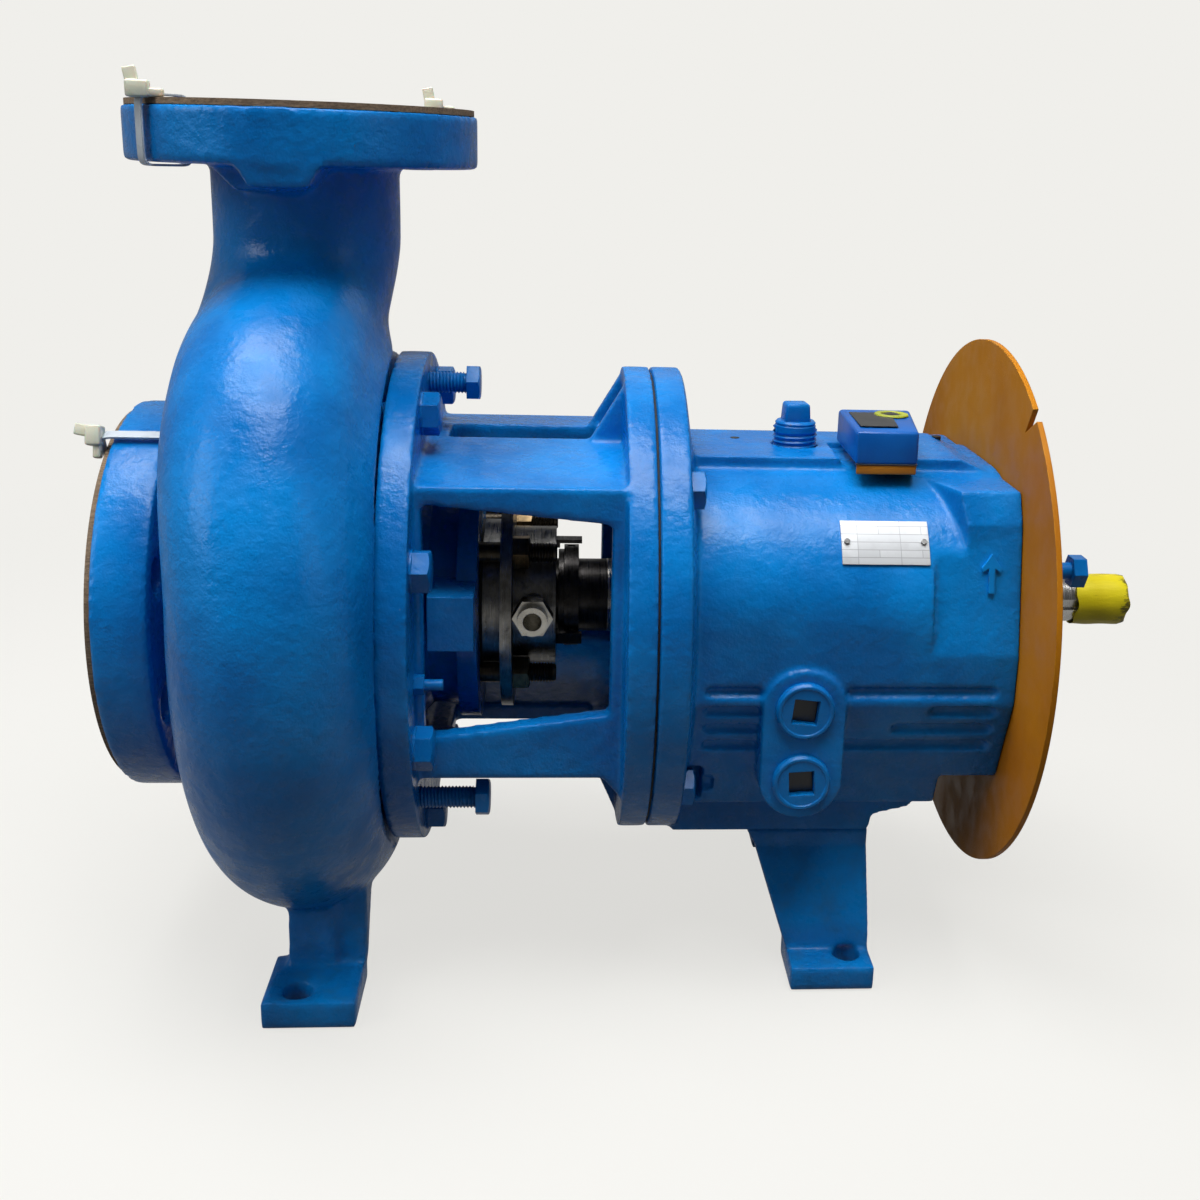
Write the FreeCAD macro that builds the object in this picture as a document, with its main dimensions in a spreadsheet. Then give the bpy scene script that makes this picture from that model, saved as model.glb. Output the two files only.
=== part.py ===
import FreeCAD, Part
import Sketcher
import math
import os
import re

# Horizontal end-suction process pump, built on its own frame: X along the shaft from the
# suction side to the coupling end, Y away from the side with the nameplate, Z up.
# The origin is on the base plane, under the discharge centreline, between the front foot
# bolts. Bodies on the shaft are drawn about their own X axis and lifted to the shaft height.

DOC = FreeCAD.newDocument("ProcessPump")
SHEET = DOC.addObject("Spreadsheet::Sheet", "Sheet")

SIZES = (
    # Envelope of the pump size
    ("shaft_height", 209.55), ("discharge_reach", 279.4), ("suction_reach", 101.6),
    ("shaft_end_reach", 495.3),
    # Fits and seats
    ("slip_gap", 0.05), ("bolt_gap", 0.2), ("seat_gap", 0.3), ("ball_gap", 0.3),
    # Casing
    ("suction_flange_radius", 114.3), ("suction_flange_thickness", 30.8),
    ("suction_bore_radius", 50.8), ("suction_neck_radius", 66.0),
    ("suction_bolt_radius", 95.25), ("suction_bolt_count", 8),
    ("discharge_flange_radius", 95.25), ("discharge_flange_thickness", 28.6),
    ("discharge_bore_radius", 38.1), ("discharge_bolt_radius", 76.2),
    ("discharge_bolt_count", 4), ("flange_hole_radius", 9.53),
    ("volute_centre_x", 0.0), ("volute_tube_radius", 51.5), ("volute_start_radius", 106.0),
    ("volute_step", 16.0), ("passage_centre_x", -5.0), ("passage_radius", 35.0),
    ("neck_start_height", 212.0), ("neck_low_bend", 150.0), ("facing_margin", 3.5),
    ("core_radius", 124.0), ("core_front_x", 42.0), ("core_round", 14.0),
    ("core_flare", 6.0), ("chamber_radius", 112.0),
    ("chamber_front_x", 6.0), ("eye_front_x", 26.0),
    ("casing_flange_radius", 146.5), ("casing_flange_thickness", 16.0),
    ("casing_back_x", 46.0), ("casing_thread_depth", 11.5),
    ("flange_lug_width", 58.0), ("flange_lug_x", -8.0), ("flange_lug_slope", 13.0),
    ("flange_lug_reach", 71.0), ("flange_lug_height", 13.0),
    ("front_bolt_half", 123.825), ("front_pad_outer", 139.6), ("front_pad_inner", 89.0),
    ("front_pad_left_x", 18.0), ("front_pad_right_x", 34.0), ("front_pad_thickness", 16.4),
    ("front_web_left_x", 9.0), ("front_web_thickness", 27.0), ("front_rib_thickness", 17.0),
    ("web_foot_inset", 37.0), ("web_waist_inset", 42.0), ("web_top_inset", 38.0),
    ("web_bend_inset", 26.0), ("web_inner_inset", 16.0), ("web_crotch_half", 30.0),
    ("web_waist_drop", 50.0), ("web_top_rise", 20.0), ("web_crotch_drop", 30.0),
    ("web_bend_drop", 62.0), ("rib_foot_step", 10.0), ("rib_waist_step", 4.0),
    ("rib_top_step", 2.0), ("rib_crotch_half", 40.0), ("rib_crotch_drop", 10.0),
    ("foot_hole_radius", 7.95), ("foot_spot_radius", 14.3), ("foot_spot_depth", 1.2),
    ("foot_spot_room", 30.0),
    ("drain_boss_radius", 17.0), ("drain_boss_drop", 190.0), ("drain_boss_length", 30.0),
    ("drain_thread_radius", 8.0), ("drain_hole_depth", 16.0), ("drain_plug_length", 14.0),
    # Joint between casing, cover and adapter
    ("gasket_thickness", 1.5), ("gasket_inner_radius", 112.5), ("cover_flange_radius", 121.0),
    ("cover_flange_thickness", 12.0), ("cover_spigot_length", 12.0),
    ("adapter_gap", 3.2), ("adapter_ring_radius", 146.5), ("adapter_ring_thickness", 17.4),
    ("casing_bolt_circle", 130.0), ("casing_bolt_count", 8), ("casing_bolt_radius", 6.35),
    ("casing_bolt_head_width", 21.0), ("casing_bolt_head_height", 11.0),
    ("jack_screw_radius", 6.35), ("jack_head_width", 19.0), ("jack_head_height", 8.0),
    ("jack_top_x", 96.6), ("jack_low_x", 106.0),
    # Seal chamber cover
    ("cover_barrel_radius", 66.0), ("cover_end_radius", 74.0), ("cover_end_thickness", 11.5),
    ("cover_fillet", 10.0), ("tap_block_root", 4.0), ("cover_screw_inset", 4.0),
    ("cover_face_x", 97.5), ("seal_bore_radius", 37.0), ("throat_radius", 26.0),
    ("throat_thickness", 8.0), ("tap_block_left_x", 72.5), ("tap_block_reach", 99.0),
    ("tap_block_low", 2.0), ("tap_block_high", 29.0),
    ("cover_screw_circle", 114.0), ("cover_screw_radius", 3.0), ("cover_screw_angle", -8.0),
    ("cover_screw_end_x", 82.0), ("cover_screw_nut_width", 10.0), ("cover_screw_nut_height", 5.5),
    # Adapter
    ("adapter_rear_radius", 140.0), ("adapter_rear_thickness", 15.6),
    ("adapter_rear_face_x", 195.6), ("tunnel_top", 102.0), ("tunnel_shoulder", 92.0),
    ("tunnel_half", 107.0), ("tunnel_bottom", 92.0), ("tunnel_sill", 74.0),
    ("tunnel_wall", 12.0), ("tunnel_slot_half", 19.0),
    ("window_top_left", 82.0), ("window_top_right", 72.0), ("window_low_left", 50.0),
    ("window_low_right", 36.0), ("window_left_x", 71.0), ("window_right_x", 172.0),
    ("adapter_bore_radius", 96.0), ("adapter_bore_depth", 9.0), ("adapter_front_bore_radius", 78.0),
    ("gusset_thickness", 9.0), ("gusset_foot_x", 157.0), ("gusset_root", 6.0),
    ("slot_inset", 8.0), ("tunnel_end_wall", 8.0),
    ("frame_bolt_circle", 124.0), ("frame_bolt_count", 4), ("frame_bolt_radius", 6.35),
    ("frame_bolt_spot_radius", 13.5),
    ("frame_bolt_spot_length", 13.0), ("frame_bolt_head_width", 20.0), ("frame_bolt_head_height", 8.5),
    # Seal
    ("gland_plate_x", 110.0), ("gland_plate_thickness", 6.8), ("gland_plate_radius", 68.0),
    ("gland_step_length", 9.5), ("gland_register_radius", 46.0), ("gland_body_radius", 42.0),
    ("gland_end_x", 141.8), ("gland_bore_radius", 27.0), ("gland_pocket_radius", 33.0),
    ("gland_stud_circle", 52.5), ("gland_stud_count", 4), ("gland_stud_radius", 6.0),
    ("gland_stud_start_x", 84.0), ("gland_stud_end_x", 142.5), ("gland_nut_width", 18.0),
    ("gland_nut_height", 10.0),
    ("port_x", 128.8), ("port_up", 6.0), ("port_hex_width", 20.5), ("port_hex_start", 56.0),
    ("port_hex_end", 66.0), ("port_nose_radius", 8.6), ("port_nose_end", 72.0),
    ("port_bore_radius", 5.3), ("port_thread_radius", 7.0),
    ("sleeve_radius", 22.2), ("sleeve_start_x", 31.5), ("sleeve_end_x", 173.0),
    ("collar_start_x", 143.2), ("collar_neck_end_x", 146.6), ("collar_end_x", 155.4),
    ("collar_neck_radius", 28.0), ("collar_radius", 31.0), ("collar_screw_radius", 2.5),
    ("seal_face_x", 112.0), ("seal_seat_thickness", 9.0), ("seal_head_length", 40.0),
    ("seal_head_radius", 31.0),
    ("clip_width", 9.0), ("clip_thickness", 2.2), ("clip_reach", 36.0), ("clip_length", 15.5),
    ("clip_foot", 5.0), ("setscrew_sink", 0.6),
    # Shaft
    ("shaft_seal_radius", 19.05), ("shaft_thread_radius", 12.7), ("shaft_nose_x", 2.0),
    ("shaft_body_radius", 26.0), ("bearing_bore_radius", 22.5),
    ("shaft_tail_radius", 20.0), ("shaft_end_radius", 14.29), ("shaft_end_length", 66.7),
    ("shaft_chamfer", 1.5), ("key_width", 6.35), ("key_length", 54.0), ("key_inset", 4.0),
    # Impeller
    ("impeller_radius", 100.0), ("impeller_shroud_thickness", 6.0),
    ("impeller_back_x", 31.0), ("impeller_hub_radius", 21.0), ("impeller_nose_x", 24.0),
    ("impeller_cap_x", 16.0), ("impeller_fillet", 8.0), ("impeller_back_taper", 3.0),
    ("vane_count", 5), ("vane_thickness", 6.0), ("vane_inner_radius", 20.0),
    ("vane_curve_radius", 70.0), ("vane_tip_gap", 1.0),
    # Bearings
    ("bearing_outer_radius", 50.0), ("inboard_bearing_x", 224.0),
    ("inboard_bearing_width", 25.0), ("outboard_bearing_x", 346.0),
    ("outboard_bearing_width", 39.7), ("ball_radius", 7.5), ("ball_circle", 36.25),
    ("inboard_ball_count", 8), ("outboard_ball_count", 9), ("race_shoulder", 4.0),
    ("outboard_row_offset", 9.6), ("cage_thickness", 2.0), ("cage_width", 18.0),
    ("locknut_width", 10.0), ("locknut_radius", 32.5), ("lockwasher_thickness", 1.5),
    ("locknut_slot_width", 6.0), ("locknut_slot_depth", 3.0), ("locknut_room", 4.0),
    # Bearing housing
    ("housing_radius", 62.0), ("housing_start_x", 342.0), ("housing_flange_x", 405.0),
    ("housing_flange_thickness", 13.0), ("housing_flange_radius", 79.0),
    ("housing_seal_radius", 30.0), ("housing_seal_shelf", 3.0), ("ring_groove_start", 22.0),
    ("ring_groove_width", 5.0), ("ring_groove_depth", 4.0), ("ring_gap", 0.5),
    ("adjuster_circle", 69.0), ("adjuster_count", 3), ("adjuster_radius", 5.0),
    ("adjuster_head_x", 441.0), ("adjuster_head_width", 17.0), ("adjuster_head_height", 8.0),
    ("adjuster_angle", 31.0),
    ("oil_seal_radius", 36.0), ("oil_seal_width", 12.0), ("oil_rotor_width", 8.0),
    # Bearing frame
    ("frame_gasket_thickness", 1.2), ("frame_gasket_inset", 3.0),
    ("frame_front_flange_thickness", 17.2), ("frame_flange_radius", 140.0),
    ("frame_front_web", 8.0), ("frame_rear_x", 400.0), ("frame_top", 91.0),
    ("frame_half", 107.0),
    ("frame_shoulder_radius", 80.0), ("frame_knee", 30.0), ("frame_low_half", 80.0),
    ("frame_low", 102.0), ("frame_bottom_half", 68.0), ("frame_bottom", 126.0),
    ("frame_sump_end_x", 331.0), ("sump_step", 2.0), ("sump_step_rise", 10.0),
    ("sump_slope", 23.0), ("sump_slope_rise", 15.0), ("sump_root", 4.0),
    ("top_pad_height", 6.0), ("top_pad_half", 41.0), ("top_pad_end_x", 376.0),
    ("top_pad_slope", 14.0), ("top_pad_root", 10.0), ("corner_front_x", 350.0),
    ("corner_slant", 24.0), ("corner_room", 20.0), ("corner_low", 14.0),
    ("corner_half", 83.0), ("corner_top", 88.0), ("corner_side", 91.5), ("corner_knee", 71.0),
    ("rear_half", 102.5), ("rear_low_x", 366.0), ("rear_low", 82.0),
    ("frame_cavity_radius", 78.0), ("cavity_wall", 6.0), ("bearing_shelf", 4.0),
    ("sump_floor", 112.0), ("sump_half", 55.0), ("sump_wall", 8.0),
    ("rear_hole_depth", 12.0), ("frame_overlap", 2.0), ("boss_root", 20.0),
    ("groove_depth", 3.0), ("groove_width", 7.0), ("groove_pitch", 12.0),
    ("groove_drop", 19.0), ("groove_left_x", 228.0), ("groove_right_x", 387.0),
    ("groove_second_x", 355.0), ("groove_third_x", 335.0), ("groove_inset", 3.0),
    ("boss_width", 47.0), ("boss_rise", 3.0),
    ("boss_x", 280.4), ("plug_upper_drop", 31.5), ("plug_lower_drop", 74.3),
    ("plug_rim_radius", 16.5), ("plug_rim_height", 4.0), ("plug_thread_radius", 12.0),
    ("plug_depth", 12.0), ("plug_square", 15.5), ("plug_recess", 7.0),
    ("fill_x", 284.5), ("fill_thread_radius", 13.4), ("fill_thread_height", 12.0),
    ("fill_square", 15.5), ("fill_square_height", 13.0), ("fill_depth", 10.0),
    # Sump drain and sight glass on the far side
    ("sump_plug_radius", 7.0), ("sump_plug_x", 244.0), ("sump_plug_length", 11.0),
    ("sight_radius", 19.0), ("sight_glass_radius", 13.0), ("sight_depth", 8.0),
    ("sight_drop", 40.0),
    # Rear foot
    ("rear_foot_x", 317.5), ("rear_bolt_half", 92.075), ("rear_pad_outer", 109.4),
    ("rear_pad_inner", 68.0), ("rear_pad_left_x", 281.7), ("rear_pad_right_x", 331.6),
    ("rear_pad_thickness", 15.0), ("rear_top_left_x", 257.0), ("rear_top_thickness", 11.0),
    ("rear_top_taper", 6.0), ("rear_web_step", 18.0), ("rear_web_rise", 14.0),
    ("rear_top_half", 66.0), ("rear_arch_half", 40.0),
    ("rear_arch_top", 158.0), ("rear_bolt_radius", 6.35), ("rear_bolt_half_y", 28.0),
    ("rear_bolt_x", 297.5),
    ("rear_bolt_head_width", 19.0), ("rear_bolt_head_height", 8.0),
    # Guard plate
    ("guard_radius", 161.0), ("guard_thickness", 3.0), ("guard_bore_radius", 76.0),
    ("guard_notch_angle", 55.2), ("guard_notch_depth", 18.0), ("guard_notch_spread", 2.0),
    ("guard_bolt_circle", 90.0), ("guard_bolt_angle", 20.0), ("guard_bolt_radius", 5.0),
    ("guard_bolt_head_width", 16.0), ("guard_bolt_head_height", 6.5),
    # Monitor and nameplate
    ("monitor_left_x", 306.5), ("monitor_length", 38.0), ("monitor_near", 62.0),
    ("monitor_far", -4.0), ("monitor_base_height", 5.5), ("monitor_height", 20.2),
    ("monitor_seat", 92.0), ("monitor_lip", 0.5),
    ("plate_x", 323.0), ("plate_length", 49.0), ("plate_low_angle", 28.5),
    ("plate_high_angle", 47.0), ("plate_thickness", 0.8), ("rivet_radius", 1.6),
    ("rivet_inset", 3.0), ("rivet_height", 1.2),
    # Flange boards
    ("board_thickness", 3.2), ("suction_board_radius", 110.0),
    ("discharge_board_radius", 93.5),
)

ALIAS = re.compile(r"[a-z][a-z0-9]*(?:_[a-z0-9]+)+")

for row, (alias, value) in enumerate(SIZES, start=1):
    SHEET.set("A%d" % row, alias)
    SHEET.set("B%d" % row, str(value))
    SHEET.setAlias("B%d" % row, alias)
DOC.recompute()

READER = DOC.addObject("App::FeaturePython", "Reader")
PARTS = []


def bound(text):
    """An expression whose names are cells of the sheet."""
    return ALIAS.sub(lambda name: "Sheet." + name.group(), text)


def size(text):
    """The value of an expression."""
    return float(READER.evalExpression(bound(text)))


def tie(item, prop, text):
    item.setExpression(prop, bound(text))


def new_body(label, lift="shaft_height"):
    """A sub-part. Pieces drawn about the shaft are lifted to its height."""
    body = DOC.addObject("PartDesign::Body", label)
    body.Label = label
    tie(body, "Placement.Base.z", lift)
    PARTS.append(body)
    return body


def origin_of(body, role):
    return [item for item in body.Origin.OriginFeatures if item.Role == role][0]


def new_sketch(body, plane, offset="0"):
    """A sketch on an origin plane, moved along the plane's normal by offset."""
    sketch = body.newObject("Sketcher::SketchObject", body.Label + "_sketch")
    sketch.AttachmentSupport = [(origin_of(body, plane), "")]
    sketch.MapMode = "FlatFace"
    tie(sketch, "AttachmentOffset.Base.z", offset)
    return sketch


def pin_point(sketch, geometry, place, across, up):
    """Ties a point of a sketch to two expressions."""
    for kind, text in (("DistanceX", across), ("DistanceY", up)):
        index = sketch.addConstraint(
            Sketcher.Constraint(kind, -1, 1, geometry, place, size(text)))
        tie(sketch, "Constraints[%d]" % index, text)


def circle(sketch, across, up, radius):
    centre = FreeCAD.Vector(size(across), size(up), 0)
    geometry = sketch.addGeometry(Part.Circle(centre, FreeCAD.Vector(0, 0, 1), size(radius)))
    index = sketch.addConstraint(Sketcher.Constraint("Radius", geometry, size(radius)))
    tie(sketch, "Constraints[%d]" % index, radius)
    pin_point(sketch, geometry, 3, across, up)


def arc_between(start, end, radius):
    """The arc from start to end; a positive radius keeps its centre on the left."""
    chord = end - start
    middle = (start + end) * 0.5
    left = FreeCAD.Vector(-chord.y, chord.x, 0)
    left.normalize()
    rise = math.sqrt(max(radius * radius - chord.Length ** 2 / 4, 0))
    centre = middle + left * math.copysign(rise, radius)
    first, last = (start, end) if radius > 0 else (end, start)
    round_edge = Part.Circle(centre, FreeCAD.Vector(0, 0, 1), abs(radius))
    return Part.ArcOfCircle(round_edge, math.atan2(first.y - centre.y, first.x - centre.x),
                            math.atan2(last.y - centre.y, last.x - centre.x))


def outline(sketch, corners, arcs=None):
    """A closed outline through corners; arcs maps an edge's number to its radius."""
    arcs = arcs or {}
    points = [FreeCAD.Vector(size(across), size(up), 0) for across, up in corners]
    edges = []
    for number, start in enumerate(points):
        end = points[(number + 1) % len(points)]
        if number in arcs:
            radius = size(arcs[number])
            geometry = sketch.addGeometry(arc_between(start, end, radius))
            edges.append((geometry, 1, 2) if radius > 0 else (geometry, 2, 1))
            text = arcs[number] if radius > 0 else "-(%s)" % arcs[number]
            index = sketch.addConstraint(Sketcher.Constraint("Radius", geometry, abs(radius)))
            tie(sketch, "Constraints[%d]" % index, text)
        else:
            edges.append((sketch.addGeometry(Part.LineSegment(start, end)), 1, 2))
    for number, (geometry, first, last) in enumerate(edges):
        following, start_place, _ = edges[(number + 1) % len(edges)]
        sketch.addConstraint(
            Sketcher.Constraint("Coincident", geometry, last, following, start_place))
        pin_point(sketch, geometry, first, *corners[number])


def box_outline(sketch, left, low, right, high):
    outline(sketch, ((left, low), (right, low), (right, high), (left, high)))


def hexagon(sketch, across, up, width):
    corners = [("%s + %s/sqrt(3)*cos(%d)" % (across, width, 60 * corner),
                "%s + %s/sqrt(3)*sin(%d)" % (up, width, 60 * corner)) for corner in range(6)]
    outline(sketch, corners)


def extrude(body, kind, sketch, length, reverse=False, middle=False):
    feature = body.newObject(kind, body.Label + "_" + kind.split("::")[1].lower())
    feature.Profile = sketch
    tie(feature, "Length", length)
    feature.Reversed = reverse
    if middle:
        feature.SideType = "Symmetric"
    return feature


def pad(body, sketch, length, reverse=False, middle=False):
    return extrude(body, "PartDesign::Pad", sketch, length, reverse, middle)


def pocket(body, sketch, length, reverse=False, middle=False):
    return extrude(body, "PartDesign::Pocket", sketch, length, reverse, middle)


def turn(body, corners, cut=False, arcs=None):
    """A solid, or a cut, of revolution about the shaft: corners are (x, radius)."""
    sketch = new_sketch(body, "XZ_Plane")
    outline(sketch, corners, arcs)
    kind = "PartDesign::Groove" if cut else "PartDesign::Revolution"
    feature = body.newObject(kind, body.Label + "_turn")
    feature.Profile = sketch
    feature.ReferenceAxis = (sketch, ["H_Axis"])
    feature.Angle = 360
    return feature


def ring(body, start, end, inner, outer, cut=False):
    """A plain ring about the shaft."""
    return turn(body, ((start, inner), (end, inner), (end, outer), (start, outer)), cut)


def around(body, features, count, axis="X_Axis"):
    pattern = body.newObject("PartDesign::PolarPattern", body.Label + "_pattern")
    pattern.Originals = features
    pattern.Axis = (origin_of(body, axis), [""])
    pattern.Angle = 360
    tie(pattern, "Occurrences", count)
    body.Tip = pattern
    return pattern


def mirror(body, features, plane):
    copy = body.newObject("PartDesign::Mirrored", body.Label + "_mirror")
    copy.Originals = features
    copy.MirrorPlane = (origin_of(body, plane), [""])
    body.Tip = copy
    return copy


def polar(radius, angle):
    """Expressions for a place on a circle: angle counts from -Y, up."""
    return "-(%s)*cos(%s)" % (radius, angle), "(%s)*sin(%s)" % (radius, angle)


def bolt(body, circle_radius, angle, shank_radius, start, end, head_width, head_height):
    """A hexagon bolt along +X whose head starts at end."""
    across, up = polar(circle_radius, angle)
    shank = new_sketch(body, "YZ_Plane", start)
    circle(shank, across, up, shank_radius)
    head = new_sketch(body, "YZ_Plane", end)
    hexagon(head, across, up, head_width)
    return [pad(body, shank, "%s - (%s)" % (end, start)), pad(body, head, head_height)]


def round_hole(body, start, circle_radius, angle, radius, length):
    """A hole along +X from start."""
    sketch = new_sketch(body, "YZ_Plane", start)
    across, up = polar(circle_radius, angle)
    circle(sketch, across, up, radius)
    return pocket(body, sketch, length, reverse=True)


def volute_spine(sketch):
    """The centreline of the volute: quarter arcs about the corners of a square."""
    half = size("volute_step") / 2
    start = size("volute_start_radius")
    step = size("volute_step")
    quarters = (
        ("volute_step/2", "-volute_step/2", half, -half, start, 0),
        ("-volute_step/2", "-volute_step/2", -half, -half, start + step, 270),
        ("-volute_step/2", "volute_step/2", -half, half, start + 2 * step, 180))
    arcs = []
    for across, up, centre_across, centre_up, radius, first in quarters:
        centre = FreeCAD.Vector(centre_across, centre_up, 0)
        round_edge = Part.Circle(centre, FreeCAD.Vector(0, 0, 1), radius)
        arcs.append(sketch.addGeometry(
            Part.ArcOfCircle(round_edge, math.radians(first), math.radians(first + 90))))
        pin_point(sketch, arcs[-1], 3, across, up)
    index = sketch.addConstraint(Sketcher.Constraint("Radius", arcs[0], start))
    tie(sketch, "Constraints[%d]" % index, "volute_start_radius")
    sketch.addConstraint(Sketcher.Constraint("Tangent", arcs[0], 1, arcs[1], 2))
    sketch.addConstraint(Sketcher.Constraint("Tangent", arcs[1], 1, arcs[2], 2))
    sketch.addConstraint(Sketcher.Constraint("Vertical", arcs[0], 2, arcs[0], 3))
    sketch.addConstraint(Sketcher.Constraint("Horizontal", arcs[2], 1, arcs[2], 3))


def neck_spine(sketch):
    """From the widest side of the volute, an S-bend of two arcs that ends straight above
    the shaft."""
    side = -size(NECK_SIDE)
    half = size("volute_step") / 2
    top = size("neck_start_height")
    bends = (side * side + (top - half) ** 2) / (-2 * side)
    reach = math.asin((top - half) / bends)
    low_bend = size("neck_low_bend")
    up_axis = FreeCAD.Vector(0, 0, 1)
    low_edge = Part.Circle(FreeCAD.Vector(side + low_bend, half, 0), up_axis, low_bend)
    high_edge = Part.Circle(FreeCAD.Vector(low_bend - bends, top, 0), up_axis,
                            bends - low_bend)
    low = sketch.addGeometry(Part.ArcOfCircle(low_edge, math.pi - reach, math.pi))
    high = sketch.addGeometry(Part.ArcOfCircle(high_edge, -reach, 0))
    pin_point(sketch, low, 2, "-(%s)" % NECK_SIDE, "volute_step/2")
    pin_point(sketch, high, 2, "0", "neck_start_height")
    sketch.addConstraint(Sketcher.Constraint("Horizontal", low, 2, low, 3))
    sketch.addConstraint(Sketcher.Constraint("Tangent", low, 1, high, 1))
    index = sketch.addConstraint(Sketcher.Constraint("Radius", low, low_bend))
    tie(sketch, "Constraints[%d]" % index, "neck_low_bend")
    sketch.addConstraint(Sketcher.Constraint("Horizontal", high, 2, high, 3))


NECK_SIDE = "volute_start_radius + 2.5*volute_step"
EYE_SLOPE = "(eye_front_x - chamber_front_x)/(impeller_radius - suction_bore_radius)"
EYE_END = "(suction_neck_radius - suction_bore_radius)*%s - eye_front_x" % EYE_SLOPE


def tube_section(body, plane, level, centre_x, other, radius):
    sketch = new_sketch(body, plane, level)
    circle(sketch, centre_x, other, radius)
    return sketch


def tube(body, draw_spine, centre_x, profile):
    """A round tube, or a round cut, along a spine in a plane across the shaft."""
    spine = new_sketch(body, "YZ_Plane", centre_x)
    draw_spine(spine)
    DOC.recompute()
    return profile, spine


def sweep(body, kind, parts):
    profile, spine = parts
    feature = body.newObject("PartDesign::" + kind, body.Label + "_" + kind.lower())
    feature.Profile = profile
    feature.Spine = spine
    return feature


def make_casing():
    body = new_body("casing")
    # Core and back flange
    turn(body, (
        ("-core_front_x", "0"), ("-core_front_x", "core_radius - core_round"),
        ("core_round - core_front_x", "core_radius"),
        ("casing_back_x - casing_flange_thickness - core_flare", "core_radius"),
        ("casing_back_x - casing_flange_thickness", "casing_flange_radius"),
        ("casing_back_x", "casing_flange_radius"), ("casing_back_x", "0")))
    neck_side = "-(%s)" % NECK_SIDE
    sweep(body, "AdditivePipe", tube(body, volute_spine, "volute_centre_x", tube_section(
        body, "XY_Plane", "volute_step/2", "volute_centre_x", neck_side,
        "volute_tube_radius")))
    sweep(body, "AdditivePipe", tube(body, neck_spine, "volute_centre_x", tube_section(
        body, "XY_Plane", "neck_start_height", "volute_centre_x", "0", "volute_tube_radius")))
    # Feet: pads, webs that carry the volute, and a rib behind each web
    pads = new_sketch(body, "XY_Plane", "-shaft_height")
    web = new_sketch(body, "YZ_Plane", "-front_web_left_x")
    rib = new_sketch(body, "YZ_Plane", "front_web_thickness - front_web_left_x")
    for side in ("", "-"):
        box_outline(pads, "-front_pad_left_x", side + "front_pad_inner",
                    "front_pad_right_x", side + "front_pad_outer")
        outline(web, (
            (side + "(front_pad_outer - web_foot_inset)", "front_pad_thickness - shaft_height"),
            (side + "(front_pad_outer - web_waist_inset)", "-volute_start_radius - web_waist_drop"),
            (side + "(front_pad_outer - web_top_inset)", "web_top_rise - volute_start_radius"),
            (side + "web_crotch_half", "-volute_start_radius - web_crotch_drop"),
            (side + "(front_pad_inner - web_bend_inset)", "-volute_start_radius - web_bend_drop"),
            (side + "(front_pad_inner - web_inner_inset)", "front_pad_thickness - shaft_height")))
        outline(rib, (
            (side + "(front_pad_inner + rib_foot_step)", "front_pad_thickness - shaft_height"),
            (side + "(front_pad_inner + rib_waist_step)", "-volute_start_radius - web_crotch_drop"),
            (side + "(front_pad_inner + rib_top_step)", "web_top_rise - volute_start_radius"),
            (side + "rib_crotch_half", "-volute_start_radius - rib_crotch_drop"),
            (side + "(front_pad_inner - web_inner_inset)", "-volute_start_radius - web_bend_drop"),
            (side + "front_pad_inner", "front_pad_thickness - shaft_height")))
    pad(body, pads, "front_pad_thickness")
    pad(body, web, "front_web_thickness")
    pad(body, rib, "front_rib_thickness")
    drain = new_sketch(body, "XY_Plane", "-drain_boss_drop")
    circle(drain, "volute_centre_x", "-volute_step/2", "drain_boss_radius")
    pad(body, drain, "drain_boss_length")
    # The volute is faced off level with the back flange, as far out as the adapter reaches
    ring(body, "casing_back_x", "casing_back_x + volute_tube_radius", "0",
         "adapter_ring_radius + facing_margin", cut=True)
    # Water way: seat of the suction nozzle, chamber behind the open vanes, volute passage
    turn(body, (
        ("-core_front_x - 1", "0"), ("-core_front_x - 1", "suction_neck_radius"),
        (EYE_END, "suction_neck_radius"), ("-chamber_front_x", "impeller_radius"),
        ("-chamber_front_x", "chamber_radius"), ("casing_back_x + 1", "chamber_radius"),
        ("casing_back_x + 1", "0")), cut=True)
    sweep(body, "SubtractivePipe", tube(body, volute_spine, "passage_centre_x", tube_section(
        body, "XY_Plane", "volute_step/2", "passage_centre_x", neck_side, "passage_radius")))
    sweep(body, "SubtractivePipe", tube(body, neck_spine, "passage_centre_x", tube_section(
        body, "XY_Plane", "neck_start_height", "passage_centre_x", "0", "passage_radius")))
    # Bolt holes
    hole = round_hole(body, "casing_back_x - casing_thread_depth", "casing_bolt_circle",
                      "180/casing_bolt_count", "casing_bolt_radius + bolt_gap",
                      "casing_thread_depth")
    around(body, [hole], "casing_bolt_count")
    for side in ("", "-"):
        sketch = new_sketch(body, "XY_Plane", "-shaft_height - 1")
        circle(sketch, "0", side + "front_bolt_half", "foot_hole_radius")
        pocket(body, sketch, "front_pad_thickness + foot_spot_room", reverse=True)
        sketch = new_sketch(body, "XY_Plane",
                            "front_pad_thickness - foot_spot_depth - shaft_height")
        circle(sketch, "0", side + "front_bolt_half", "foot_spot_radius")
        pocket(body, sketch, "foot_spot_room", reverse=True)
    sketch = new_sketch(body, "XY_Plane", "-drain_boss_drop")
    circle(sketch, "volute_centre_x", "-volute_step/2", "drain_thread_radius + bolt_gap")
    pocket(body, sketch, "drain_hole_depth", reverse=True)


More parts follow.
